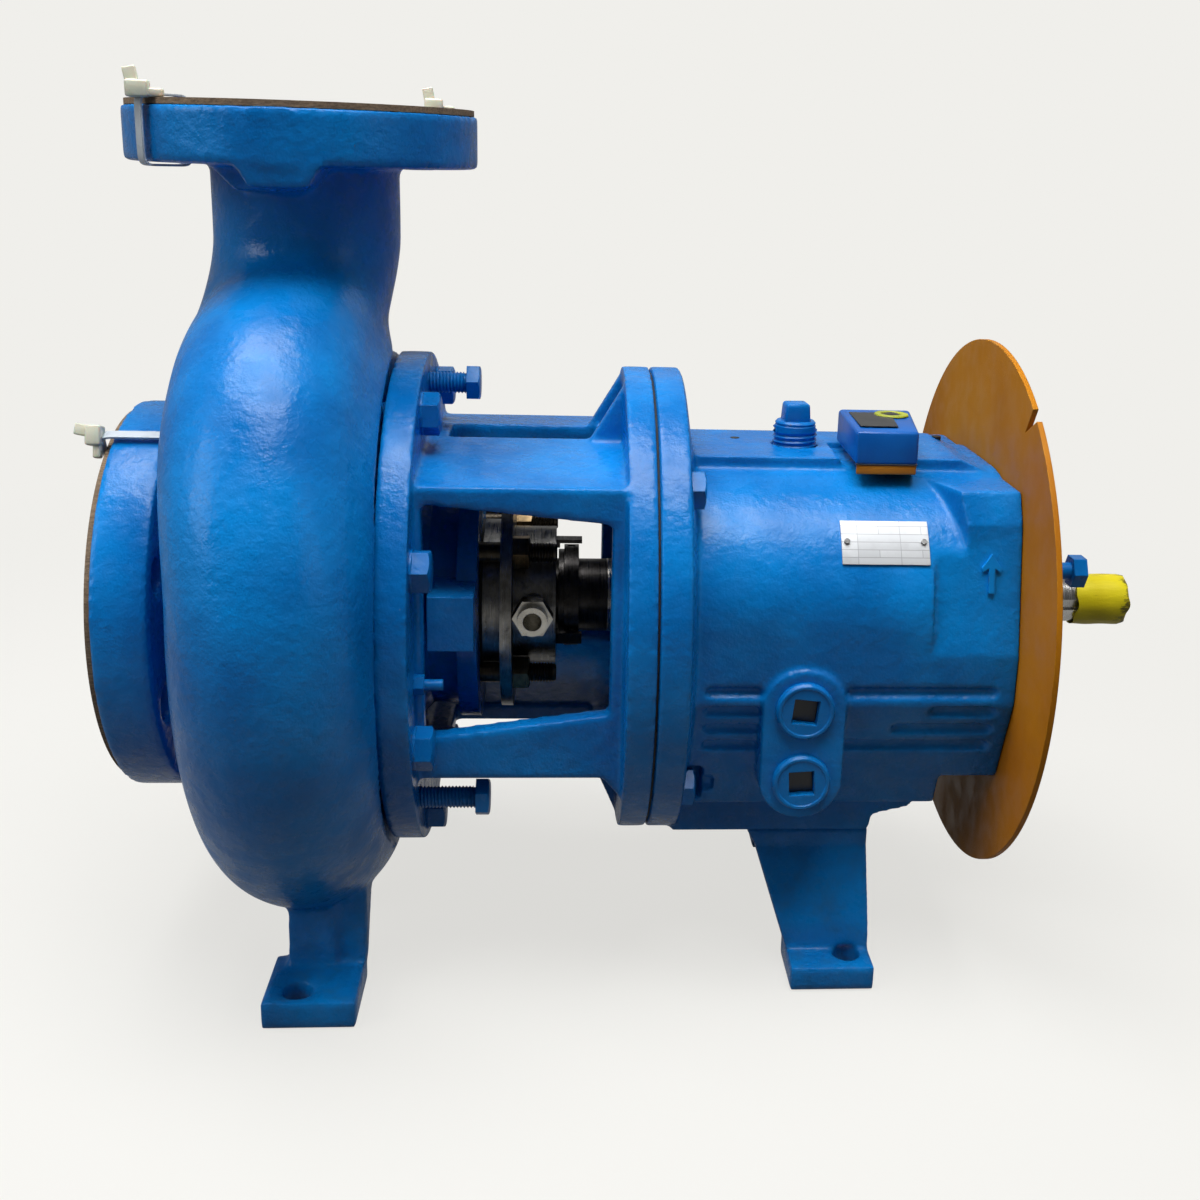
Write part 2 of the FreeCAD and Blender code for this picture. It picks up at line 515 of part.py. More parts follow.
def make_nozzles():
    """The flanged ends of the casing: a neck and its flange at each, with the eye in front."""
    body = new_body("suction_nozzle")
    turn(body, (
        ("-suction_reach", "suction_bore_radius"), ("-suction_reach", "suction_flange_radius"),
        ("suction_flange_thickness - suction_reach", "suction_flange_radius"),
        ("suction_flange_thickness - suction_reach", "suction_neck_radius"),
        (EYE_END, "suction_neck_radius"), ("-eye_front_x", "suction_bore_radius")))
    hole = round_hole(body, "-suction_reach", "suction_bolt_radius", "180/suction_bolt_count",
                      "flange_hole_radius", "suction_flange_thickness")
    around(body, [hole], "suction_bolt_count")
    body = new_body("discharge_nozzle")
    neck = tube_section(body, "XY_Plane", "neck_start_height", "volute_centre_x", "0",
                        "volute_tube_radius")
    pad(body, neck, "discharge_reach - neck_start_height")
    flange = new_sketch(body, "XY_Plane", "discharge_reach")
    circle(flange, "0", "0", "discharge_flange_radius")
    pad(body, flange, "discharge_flange_thickness", reverse=True)
    # Lugs under the flange, one on each side
    lug = new_sketch(body, "XZ_Plane")
    outline(lug, (
        ("flange_lug_x - flange_lug_width/2", "discharge_reach - discharge_flange_thickness"),
        ("flange_lug_x - flange_lug_width/2 + flange_lug_slope",
         "discharge_reach - discharge_flange_thickness - flange_lug_height"),
        ("flange_lug_x + flange_lug_width/2 - flange_lug_slope",
         "discharge_reach - discharge_flange_thickness - flange_lug_height"),
        ("flange_lug_x + flange_lug_width/2", "discharge_reach - discharge_flange_thickness")))
    pad(body, lug, "2*flange_lug_reach", middle=True)
    outlet = tube_section(body, "XY_Plane", "discharge_reach", "0", "0", "discharge_bore_radius")
    pocket(body, outlet, "discharge_reach - neck_start_height")
    sketch = new_sketch(body, "XY_Plane", "discharge_reach")
    circle(sketch, "discharge_bolt_radius*cos(45)", "discharge_bolt_radius*sin(45)",
           "flange_hole_radius")
    hole = pocket(body, sketch, "discharge_flange_thickness + flange_lug_height")
    around(body, [hole], "discharge_bolt_count", "Z_Axis")


def make_board(label, radius, plane, offset, bolt_circle, hole_count, axis, first_angle):
    """A hardboard flange cover, drilled with the flange's bolt pattern."""
    body = new_body(label)
    sketch = new_sketch(body, plane, offset)
    circle(sketch, "0", "0", radius)
    pad(body, sketch, "board_thickness", reverse=plane == "YZ_Plane")
    hole_sketch = new_sketch(body, plane, offset)
    circle(hole_sketch, "%s*cos(%s)" % (bolt_circle, first_angle),
           "%s*sin(%s)" % (bolt_circle, first_angle), "flange_hole_radius")
    hole = pocket(body, hole_sketch, "board_thickness", reverse=plane != "YZ_Plane")
    around(body, [hole], hole_count, axis)


def make_casing_small_parts():
    make_board("suction_board", "suction_board_radius", "YZ_Plane", "-suction_reach",
               "suction_bolt_radius", "suction_bolt_count", "X_Axis", "180/suction_bolt_count")
    make_board("discharge_board", "discharge_board_radius", "XY_Plane", "discharge_reach",
               "discharge_bolt_radius", "discharge_bolt_count", "Z_Axis", "45")
    body = new_body("casing_drain_plug")
    head = new_sketch(body, "XY_Plane", "-drain_boss_drop")
    hexagon(head, "volute_centre_x", "-volute_step/2", "2.4*drain_thread_radius")
    pad(body, head, "drain_thread_radius", reverse=True)
    stem = new_sketch(body, "XY_Plane", "-drain_boss_drop")
    circle(stem, "volute_centre_x", "-volute_step/2", "drain_thread_radius")
    pad(body, stem, "drain_plug_length")
    body = new_body("casing_gasket")
    ring(body, "casing_back_x", "casing_back_x + gasket_thickness",
         "gasket_inner_radius", "cover_flange_radius")


def make_impeller():
    body = new_body("impeller")
    turn(body, (
        ("impeller_back_x", "shaft_thread_radius"),
        ("impeller_back_x", "impeller_hub_radius + impeller_fillet"),
        ("impeller_back_x - impeller_back_taper", "impeller_radius"),
        ("impeller_back_x - impeller_shroud_thickness", "impeller_radius"),
        ("impeller_back_x - 2*impeller_shroud_thickness", "impeller_hub_radius + impeller_fillet"),
        ("-impeller_cap_x", "impeller_hub_radius"),
        ("-impeller_nose_x", "impeller_hub_radius/2"), ("-impeller_nose_x", "0"),
        ("shaft_nose_x", "0"), ("shaft_nose_x", "shaft_thread_radius")))
    vane = new_sketch(body, "YZ_Plane", "impeller_back_x - impeller_shroud_thickness + 2")
    outline(vane, (
        ("vane_inner_radius", "0"), ("0", "impeller_radius"),
        ("-vane_thickness", "impeller_radius*0.998"), ("vane_inner_radius - vane_thickness", "0")),
        {0: "vane_curve_radius + vane_thickness", 2: "-vane_curve_radius"})
    blade = pad(body, vane, "impeller_back_x + eye_front_x", reverse=True)
    around(body, [blade], "vane_count")
    # The vane edges follow the casing's front wall with a small running gap
    turn(body, (
        ("-eye_front_x - 30", "suction_bore_radius/2"),
        ("vane_tip_gap - eye_front_x", "suction_bore_radius/2"),
        ("vane_tip_gap - eye_front_x", "suction_bore_radius"),
        ("vane_tip_gap - chamber_front_x", "impeller_radius + 0.01"),
        ("vane_tip_gap - chamber_front_x", "impeller_radius + 9"),
        ("-eye_front_x - 30", "impeller_radius + 9")), cut=True)


def make_cover():
    body = new_body("stuffing_box_cover")
    flange_x = "casing_back_x + gasket_thickness"
    turn(body, (
        ("casing_back_x - cover_spigot_length", "throat_radius"),
        ("casing_back_x - cover_spigot_length", "chamber_radius - seat_gap"),
        (flange_x, "chamber_radius - seat_gap"), (flange_x, "cover_flange_radius"),
        (flange_x + " + cover_flange_thickness", "cover_flange_radius"),
        (flange_x + " + cover_flange_thickness", "cover_barrel_radius + cover_fillet"),
        (flange_x + " + cover_flange_thickness + cover_fillet", "cover_barrel_radius"),
        ("cover_face_x - cover_end_thickness", "cover_barrel_radius"),
        ("cover_face_x - cover_end_thickness", "cover_end_radius"),
        ("cover_face_x", "cover_end_radius"), ("cover_face_x", "seal_bore_radius"),
        ("casing_back_x - cover_spigot_length + throat_thickness", "seal_bore_radius"),
        ("casing_back_x - cover_spigot_length + throat_thickness", "throat_radius")))
    block = new_sketch(body, "XZ_Plane", "cover_barrel_radius - tap_block_root")
    box_outline(block, "tap_block_left_x", "-tap_block_low", "cover_face_x", "tap_block_high")
    pad(body, block, "tap_block_reach - cover_barrel_radius + tap_block_root")
    hole = round_hole(body, COVER_SCREW_START, "cover_screw_circle", "cover_screw_angle",
                      "cover_screw_radius + slip_gap", "cover_flange_thickness")
    around(body, [hole], "2")
    hole = round_hole(body, "gland_stud_start_x", "gland_stud_circle", "45",
                      "gland_stud_radius + slip_gap", "cover_face_x - gland_stud_start_x")
    around(body, [hole], "gland_stud_count")


def make_adapter():
    body = new_body("frame_adapter")
    front = "casing_back_x + adapter_gap"
    back = front + " + adapter_ring_thickness"
    ring(body, front, back, "0", "adapter_ring_radius")
    ring(body, "adapter_rear_face_x - adapter_rear_thickness", "adapter_rear_face_x",
         "0", "adapter_rear_radius")
    # The tunnel that joins the two flanges, over and under the seal
    tunnel = new_sketch(body, "YZ_Plane", back + " - 1")
    outline(tunnel, (
        ("-tunnel_half", "tunnel_shoulder"), ("-tunnel_half", "-tunnel_sill"),
        ("-tunnel_slot_half", "-tunnel_bottom"), ("tunnel_slot_half", "-tunnel_bottom"),
        ("tunnel_half", "-tunnel_sill"), ("tunnel_half", "tunnel_shoulder"),
        ("tunnel_slot_half", "tunnel_top"), ("-tunnel_slot_half", "tunnel_top")))
    pad(body, tunnel, "adapter_rear_face_x - adapter_rear_thickness + 2 - (" + back + ")")
    # Gussets from the tunnel's corners out to the rear flange
    spread = "adapter_rear_face_x - adapter_rear_thickness + 1"
    for plane_offset, low, high in (
            ("tunnel_half - gusset_thickness", "tunnel_sill - 2*gusset_root",
             "tunnel_shoulder - gusset_root"),
            ("tunnel_slot_half", "tunnel_bottom - gusset_root", "tunnel_top - gusset_root")):
        limit = "sqrt(pow(adapter_rear_radius - 1; 2) - pow(%s + gusset_thickness; 2))"
        reach = limit % plane_offset
        sketch = new_sketch(body, "XZ_Plane", plane_offset)
        outline(sketch, (("gusset_foot_x", high), (spread, reach), (spread, high)))
        upper = pad(body, sketch, "gusset_thickness")
        sketch = new_sketch(body, "XZ_Plane", plane_offset)
        outline(sketch, (("gusset_foot_x + 2", "-(%s)" % low), (spread, "-(%s)" % reach),
                         (spread, "-(%s)" % low)))
        lower = pad(body, sketch, "gusset_thickness")
        mirror(body, [upper, lower], "XZ_Plane")
    # Inside of the tunnel, the register for the cover and the bore for the frame spigot
    inner = new_sketch(body, "YZ_Plane", back + " - 4")
    outline(inner, (
        ("tunnel_wall - tunnel_half", "tunnel_shoulder - tunnel_wall"),
        ("tunnel_wall - tunnel_half", "tunnel_wall - tunnel_sill"),
        ("-tunnel_slot_half", "tunnel_wall - tunnel_bottom"),
        ("tunnel_slot_half", "tunnel_wall - tunnel_bottom"),
        ("tunnel_half - tunnel_wall", "tunnel_wall - tunnel_sill"),
        ("tunnel_half - tunnel_wall", "tunnel_shoulder - tunnel_wall"),
        ("tunnel_slot_half", "tunnel_top - tunnel_wall"),
        ("-tunnel_slot_half", "tunnel_top - tunnel_wall")))
    pocket(body, inner, "adapter_rear_face_x - tunnel_end_wall - (" + back + ")", reverse=True)
    register = "casing_back_x + gasket_thickness + cover_flange_thickness"
    ring(body, front + " - 1", register, "0", "cover_flange_radius + seat_gap", cut=True)
    ring(body, front + " - 1", "adapter_rear_face_x + 1", "0", "adapter_front_bore_radius",
         cut=True)
    ring(body, "adapter_rear_face_x - adapter_bore_depth", "adapter_rear_face_x + 1", "0",
         "adapter_bore_radius", cut=True)
    # Side windows and the slots along the top and the bottom
    window = new_sketch(body, "XZ_Plane")
    outline(window, (
        ("window_left_x", "-window_low_left"), ("window_right_x", "-window_low_right"),
        ("window_right_x", "window_top_right"), ("window_left_x", "window_top_left")))
    pocket(body, window, "2*adapter_ring_radius + 20", middle=True)
    slot = new_sketch(body, "XY_Plane")
    box_outline(slot, "window_left_x + slot_inset", "-tunnel_slot_half",
                "gusset_foot_x + slot_inset", "tunnel_slot_half")
    pocket(body, slot, "2*adapter_ring_radius + 20", middle=True)
    # Bolt holes
    hole = round_hole(body, front, "casing_bolt_circle", "180/casing_bolt_count",
                      "casing_bolt_radius + bolt_gap", "adapter_ring_thickness")
    around(body, [hole], "casing_bolt_count")
    for angle in JACK_ANGLES:
        round_hole(body, front, "casing_bolt_circle", angle,
                   "jack_screw_radius + slip_gap", "adapter_ring_thickness")
    hole = round_hole(body, front, "cover_screw_circle", "cover_screw_angle",
                      "cover_screw_radius + slip_gap", "adapter_ring_thickness")
    around(body, [hole], "2")
    hole = round_hole(body, "adapter_rear_face_x - adapter_rear_thickness",
                      "frame_bolt_circle", "45", "frame_bolt_radius + bolt_gap",
                      "adapter_rear_thickness")
    around(body, [hole], "frame_bolt_count")


JACK_ANGLES = ("90", "-45", "-135")
COVER_SCREW_START = "casing_back_x + gasket_thickness + cover_screw_inset"


def make_adapter_fasteners():
    ring_back = "casing_back_x + adapter_gap + adapter_ring_thickness"
    body = new_body("casing_bolts")
    around(body, bolt(body, "casing_bolt_circle", "180/casing_bolt_count", "casing_bolt_radius",
                      "casing_back_x - casing_thread_depth + 1", ring_back,
                      "casing_bolt_head_width", "casing_bolt_head_height"),
           "casing_bolt_count")
    body = new_body("jack_screws")
    for angle, head_x in zip(JACK_ANGLES, ("jack_top_x", "jack_low_x", "jack_low_x")):
        bolt(body, "casing_bolt_circle", angle, "jack_screw_radius",
             "casing_back_x + adapter_gap", head_x + " - jack_head_height",
             "jack_head_width", "jack_head_height")
    body = new_body("cover_screws")
    screw = new_sketch(body, "YZ_Plane", COVER_SCREW_START)
    circle(screw, *polar("cover_screw_circle", "cover_screw_angle"), "cover_screw_radius")
    stem = pad(body, screw, "cover_screw_end_x - (" + COVER_SCREW_START + ")")
    nut = new_sketch(body, "YZ_Plane", ring_back)
    hexagon(nut, *polar("cover_screw_circle", "cover_screw_angle"), "cover_screw_nut_width")
    around(body, [stem, pad(body, nut, "cover_screw_nut_height")], "2")
    body = new_body("frame_bolts")
    start = "adapter_rear_face_x - adapter_rear_thickness"
    around(body, bolt(body, "frame_bolt_circle", "45", "frame_bolt_radius", start,
                      FRAME_FLANGE_BACK, "frame_bolt_head_width", "frame_bolt_head_height"),
           "frame_bolt_count")


FRAME_FRONT = "adapter_rear_face_x + frame_gasket_thickness"
FRAME_FLANGE_BACK = FRAME_FRONT + " + frame_front_flange_thickness"


def make_seal():
    body = new_body("gland_gasket")
    ring(body, "cover_face_x", "cover_face_x + gasket_thickness", "seal_bore_radius",
         "gland_register_radius")
    body = new_body("gland")
    plate_end = "gland_plate_x + gland_plate_thickness"
    turn(body, (
        ("cover_face_x + gasket_thickness", "gland_pocket_radius"),
        ("cover_face_x + gasket_thickness", "gland_register_radius"),
        ("gland_plate_x", "gland_register_radius"), ("gland_plate_x", "gland_plate_radius"),
        (plate_end, "gland_plate_radius"), (plate_end, "gland_body_radius"),
        ("gland_end_x", "gland_body_radius"), ("gland_end_x", "gland_bore_radius"),
        (plate_end + " + gland_step_length", "gland_bore_radius"),
        (plate_end + " + gland_step_length", "gland_pocket_radius")))
    hole = round_hole(body, "gland_plate_x", "gland_stud_circle", "45",
                      "gland_stud_radius + bolt_gap", "gland_plate_thickness")
    around(body, [hole], "gland_stud_count")
    port = new_sketch(body, "XZ_Plane", "gland_bore_radius - 8")
    circle(port, "port_x", "port_up", "port_thread_radius + slip_gap")
    pocket(body, port, "gland_body_radius", reverse=True)
    body = new_body("gland_studs")
    stud = new_sketch(body, "YZ_Plane", "gland_stud_start_x")
    circle(stud, *polar("gland_stud_circle", "45"), "gland_stud_radius")
    around(body, [pad(body, stud, "gland_stud_end_x - gland_stud_start_x")], "gland_stud_count")
    body = new_body("gland_nuts")
    nut = new_sketch(body, "YZ_Plane", plate_end)
    hexagon(nut, *polar("gland_stud_circle", "45"), "gland_nut_width")
    circle(nut, *polar("gland_stud_circle", "45"), "gland_stud_radius + slip_gap")
    around(body, [pad(body, nut, "gland_nut_height")], "gland_stud_count")
    body = new_body("flush_port_fitting")
    stem = new_sketch(body, "XZ_Plane", "gland_bore_radius + 6")
    circle(stem, "port_x", "port_up", "port_thread_radius")
    pad(body, stem, "port_hex_start - gland_bore_radius - 6")
    flats = new_sketch(body, "XZ_Plane", "port_hex_start")
    hexagon(flats, "port_x", "port_up", "port_hex_width")
    pad(body, flats, "port_hex_end - port_hex_start")
    nose = new_sketch(body, "XZ_Plane", "port_hex_end")
    circle(nose, "port_x", "port_up", "port_nose_radius")
    pad(body, nose, "port_nose_end - port_hex_end")
    bore = new_sketch(body, "XZ_Plane", "port_nose_end")
    circle(bore, "port_x", "port_up", "port_bore_radius")
    pocket(body, bore, "port_nose_end - gland_body_radius")
    body = new_body("seal_seat")
    ring(body, "seal_face_x", "seal_face_x + seal_seat_thickness", "sleeve_radius + 2",
         "gland_pocket_radius - slip_gap")
    body = new_body("seal_head")
    ring(body, "seal_face_x - seal_head_length - seat_gap", "seal_face_x - seat_gap",
         "sleeve_radius + slip_gap", "seal_head_radius")
    body = new_body("setting_clips")
    clip = new_sketch(body, "XZ_Plane")
    outline(clip, (
        ("gland_end_x", "clip_reach - clip_foot"), ("gland_end_x", "clip_reach"),
        ("gland_end_x + clip_length", "clip_reach"),
        ("gland_end_x + clip_length", "clip_reach - clip_thickness"),
        ("gland_end_x + clip_thickness", "clip_reach - clip_thickness"),
        ("gland_end_x + clip_thickness", "clip_reach - clip_foot")))
    around(body, [pad(body, clip, "clip_width", middle=True)], "3")


def make_rotor():
    body = new_body("shaft")
    tail = "shaft_end_reach - shaft_end_length"
    nut_start = "outboard_bearing_x + outboard_bearing_width + lockwasher_thickness"
    turn(body, (
        ("shaft_nose_x", "0"), ("shaft_nose_x", "shaft_thread_radius"),
        ("impeller_back_x", "shaft_thread_radius"), ("impeller_back_x", "shaft_seal_radius"),
        ("sleeve_end_x", "shaft_seal_radius"), ("sleeve_end_x", "bearing_bore_radius"),
        ("inboard_bearing_x + inboard_bearing_width", "bearing_bore_radius"),
        ("inboard_bearing_x + inboard_bearing_width", "shaft_body_radius"),
        ("outboard_bearing_x", "shaft_body_radius"), ("outboard_bearing_x", "bearing_bore_radius"),
        (nut_start + " + locknut_width", "bearing_bore_radius"),
        (nut_start + " + locknut_width", "shaft_tail_radius"), (tail, "shaft_tail_radius"),
        (tail, "shaft_end_radius"), ("shaft_end_reach - shaft_chamfer", "shaft_end_radius"),
        ("shaft_end_reach", "shaft_end_radius - shaft_chamfer"), ("shaft_end_reach", "0")))
    keyway = new_sketch(body, "XZ_Plane", "shaft_end_radius - key_width/2")
    box_outline(keyway, "shaft_end_reach - key_inset - key_length", "-key_width/2",
                "shaft_end_reach - key_inset", "key_width/2")
    pocket(body, keyway, "key_width", reverse=True)
    body = new_body("shaft_sleeve")
    ring(body, "sleeve_start_x", "sleeve_end_x - seat_gap", "shaft_seal_radius + slip_gap",
         "sleeve_radius")
    body = new_body("drive_collar")
    turn(body, (
        ("collar_start_x", "sleeve_radius + slip_gap"), ("collar_start_x", "collar_neck_radius"),
        ("collar_neck_end_x", "collar_neck_radius"), ("collar_neck_end_x", "collar_radius"),
        ("collar_end_x", "collar_radius"), ("collar_end_x", "sleeve_radius + slip_gap")))
    holes = new_sketch(body, "XY_Plane", "collar_radius + 1")
    circle(holes, "(collar_neck_end_x + collar_end_x)/2", "0", "collar_screw_radius + slip_gap")
    around(body, [pocket(body, holes, "collar_radius - sleeve_radius + 1")], "3")
    body = new_body("collar_setscrews")
    screw = new_sketch(body, "XY_Plane", "collar_radius - setscrew_sink")
    circle(screw, "(collar_neck_end_x + collar_end_x)/2", "0", "collar_screw_radius")
    around(body, [pad(body, screw, "collar_radius - sleeve_radius - 1", reverse=True)], "3")


def make_bearing(name, start, width, count, rows):
    """A ball bearing: two grooved rings, the balls and a pressed cage for each row."""
    middle = "%s + %s/2" % (start, width)
    groove = "ball_radius + ball_gap"
    edge = "sqrt(pow(%s; 2) - pow(ball_radius - race_shoulder; 2))" % groove
    for label, bore, land, sign in (
            ("_outer_ring", "bearing_outer_radius", "ball_circle + ball_radius - race_shoulder", 1),
            ("_inner_ring", "bearing_bore_radius + slip_gap",
             "ball_circle - ball_radius + race_shoulder", -1)):
        body = new_body(name + label)
        corners = [(start, bore), (start, land)]
        arcs = {}
        for row in rows:
            arcs[len(corners)] = "-(%s)" % groove if sign > 0 else groove
            corners.append(("%s + %s - %s" % (middle, row, edge), land))
            corners.append(("%s + %s + %s" % (middle, row, edge), land))
        corners += [("%s + %s" % (start, width), land), ("%s + %s" % (start, width), bore)]
        turn(body, corners, arcs=arcs)
    balls = new_body(name + "_balls")
    first = []
    for row in rows:
        ball = balls.newObject("PartDesign::AdditiveSphere", balls.Label + "_sphere")
        tie(ball, "Radius", "ball_radius")
        ball.AttachmentSupport = [(origin_of(balls, "XY_Plane"), "")]
        ball.MapMode = "FlatFace"
        tie(ball, "AttachmentOffset.Base.x", "%s + %s" % (middle, row))
        tie(ball, "AttachmentOffset.Base.z", "ball_circle")
        first.append(ball)
    around(balls, first, count)
    cage = new_body(name + "_cage")
    for row in rows:
        ring(cage, "%s + %s - cage_width/2" % (middle, row),
             "%s + %s + cage_width/2" % (middle, row), "ball_circle - cage_thickness/2",
             "ball_circle + cage_thickness/2")
    holes = []
    for row in rows:
        sketch = new_sketch(cage, "XY_Plane", "ball_circle + cage_thickness")
        circle(sketch, "%s + %s" % (middle, row), "0", "ball_radius + ball_gap")
        holes.append(pocket(cage, sketch, "2*cage_thickness"))
    around(cage, holes, count)


def make_bearings():
    make_bearing("inboard_bearing", "inboard_bearing_x", "inboard_bearing_width",
                 "inboard_ball_count", ("0",))
    make_bearing("outboard_bearing", "outboard_bearing_x", "outboard_bearing_width",
                 "outboard_ball_count", ("-outboard_row_offset", "outboard_row_offset"))
    end = "outboard_bearing_x + outboard_bearing_width"
    body = new_body("bearing_lockwasher")
    ring(body, end, end + " + lockwasher_thickness", "bearing_bore_radius + slip_gap",
         "locknut_radius - 1")
    body = new_body("bearing_locknut")
    nut_start = end + " + lockwasher_thickness"
    ring(body, nut_start, nut_start + " + locknut_width", "bearing_bore_radius + slip_gap",
         "locknut_radius")
    slot = new_sketch(body, "YZ_Plane", nut_start)
    box_outline(slot, "-locknut_slot_width/2", "locknut_radius - locknut_slot_depth",
                "locknut_slot_width/2", "locknut_radius + 2")
    around(body, [pocket(body, slot, "locknut_width", reverse=True)], "4")


def make_bearing_housing():
    body = new_body("bearing_housing")
    flange_end = "housing_flange_x + housing_flange_thickness"
    shoulder = "outboard_bearing_x + outboard_bearing_width"
    turn(body, (
        ("housing_start_x", "bearing_outer_radius + slip_gap"),
        ("housing_start_x", "housing_radius"),
        ("housing_flange_x", "housing_radius"), ("housing_flange_x", "housing_flange_radius"),
        (flange_end, "housing_flange_radius"), (flange_end, "oil_seal_radius"),
        (flange_end + " - oil_seal_width", "oil_seal_radius"),
        (flange_end + " - oil_seal_width", "housing_seal_radius"),
        (flange_end + " - oil_seal_width - housing_seal_shelf", "housing_seal_radius"),
        (flange_end + " - oil_seal_width - housing_seal_shelf", "locknut_radius + locknut_room"),
        (shoulder, "locknut_radius + locknut_room"),
        (shoulder, "bearing_outer_radius + slip_gap")))
    groove = "housing_start_x + ring_groove_start"
    ring(body, groove, groove + " + ring_groove_width", "housing_radius - ring_groove_depth",
         "housing_radius + 1", cut=True)
    hole = round_hole(body, "housing_flange_x", "adjuster_circle", "adjuster_angle",
                      "adjuster_radius + bolt_gap", "housing_flange_thickness")
    around(body, [hole], "adjuster_count")
    body = new_body("housing_o_ring")
    ring(body, groove + " + ring_gap", groove + " + ring_groove_width - ring_gap",
         "housing_radius - ring_groove_depth", "housing_radius")
    body = new_body("adjusting_bolts")
    around(body, bolt(body, "adjuster_circle", "adjuster_angle", "adjuster_radius",
                      "frame_rear_x - rear_hole_depth + 1", "adjuster_head_x", "adjuster_head_width",
                      "adjuster_head_height"), "adjuster_count")
    body = new_body("adjuster_jam_nuts")
    nut = new_sketch(body, "YZ_Plane", flange_end)
    hexagon(nut, *polar("adjuster_circle", "adjuster_angle"), "adjuster_head_width")
    circle(nut, *polar("adjuster_circle", "adjuster_angle"), "adjuster_radius + slip_gap")
    around(body, [pad(body, nut, "adjuster_head_height - 2")], "adjuster_count")
    body = new_body("outboard_oil_seal")
    ring(body, flange_end + " - oil_seal_width", flange_end, "shaft_tail_radius + 2*slip_gap",
         "oil_seal_radius")
    body = new_body("inboard_oil_seal")
    start = FRAME_FRONT + " + 2"
    ring(body, start, start + " + oil_seal_width", "bearing_bore_radius + 2*slip_gap",
         "oil_seal_radius")
    body = new_body("inboard_slinger")
    ring(body, start + " - oil_rotor_width - 1", start + " - 1",
         "bearing_bore_radius + slip_gap", "oil_seal_radius - 3")


BOSS_REACH = "(frame_half + boss_rise)"
PAD_TOP = "frame_top + top_pad_height"
GUARD_BOLT_ANGLES = ("guard_bolt_angle", "-guard_bolt_angle")
GROOVE_STARTS = ("boss_x + boss_width/2 + groove_inset", "groove_second_x",
                 "groove_third_x", "boss_x + boss_width/2 + groove_inset")


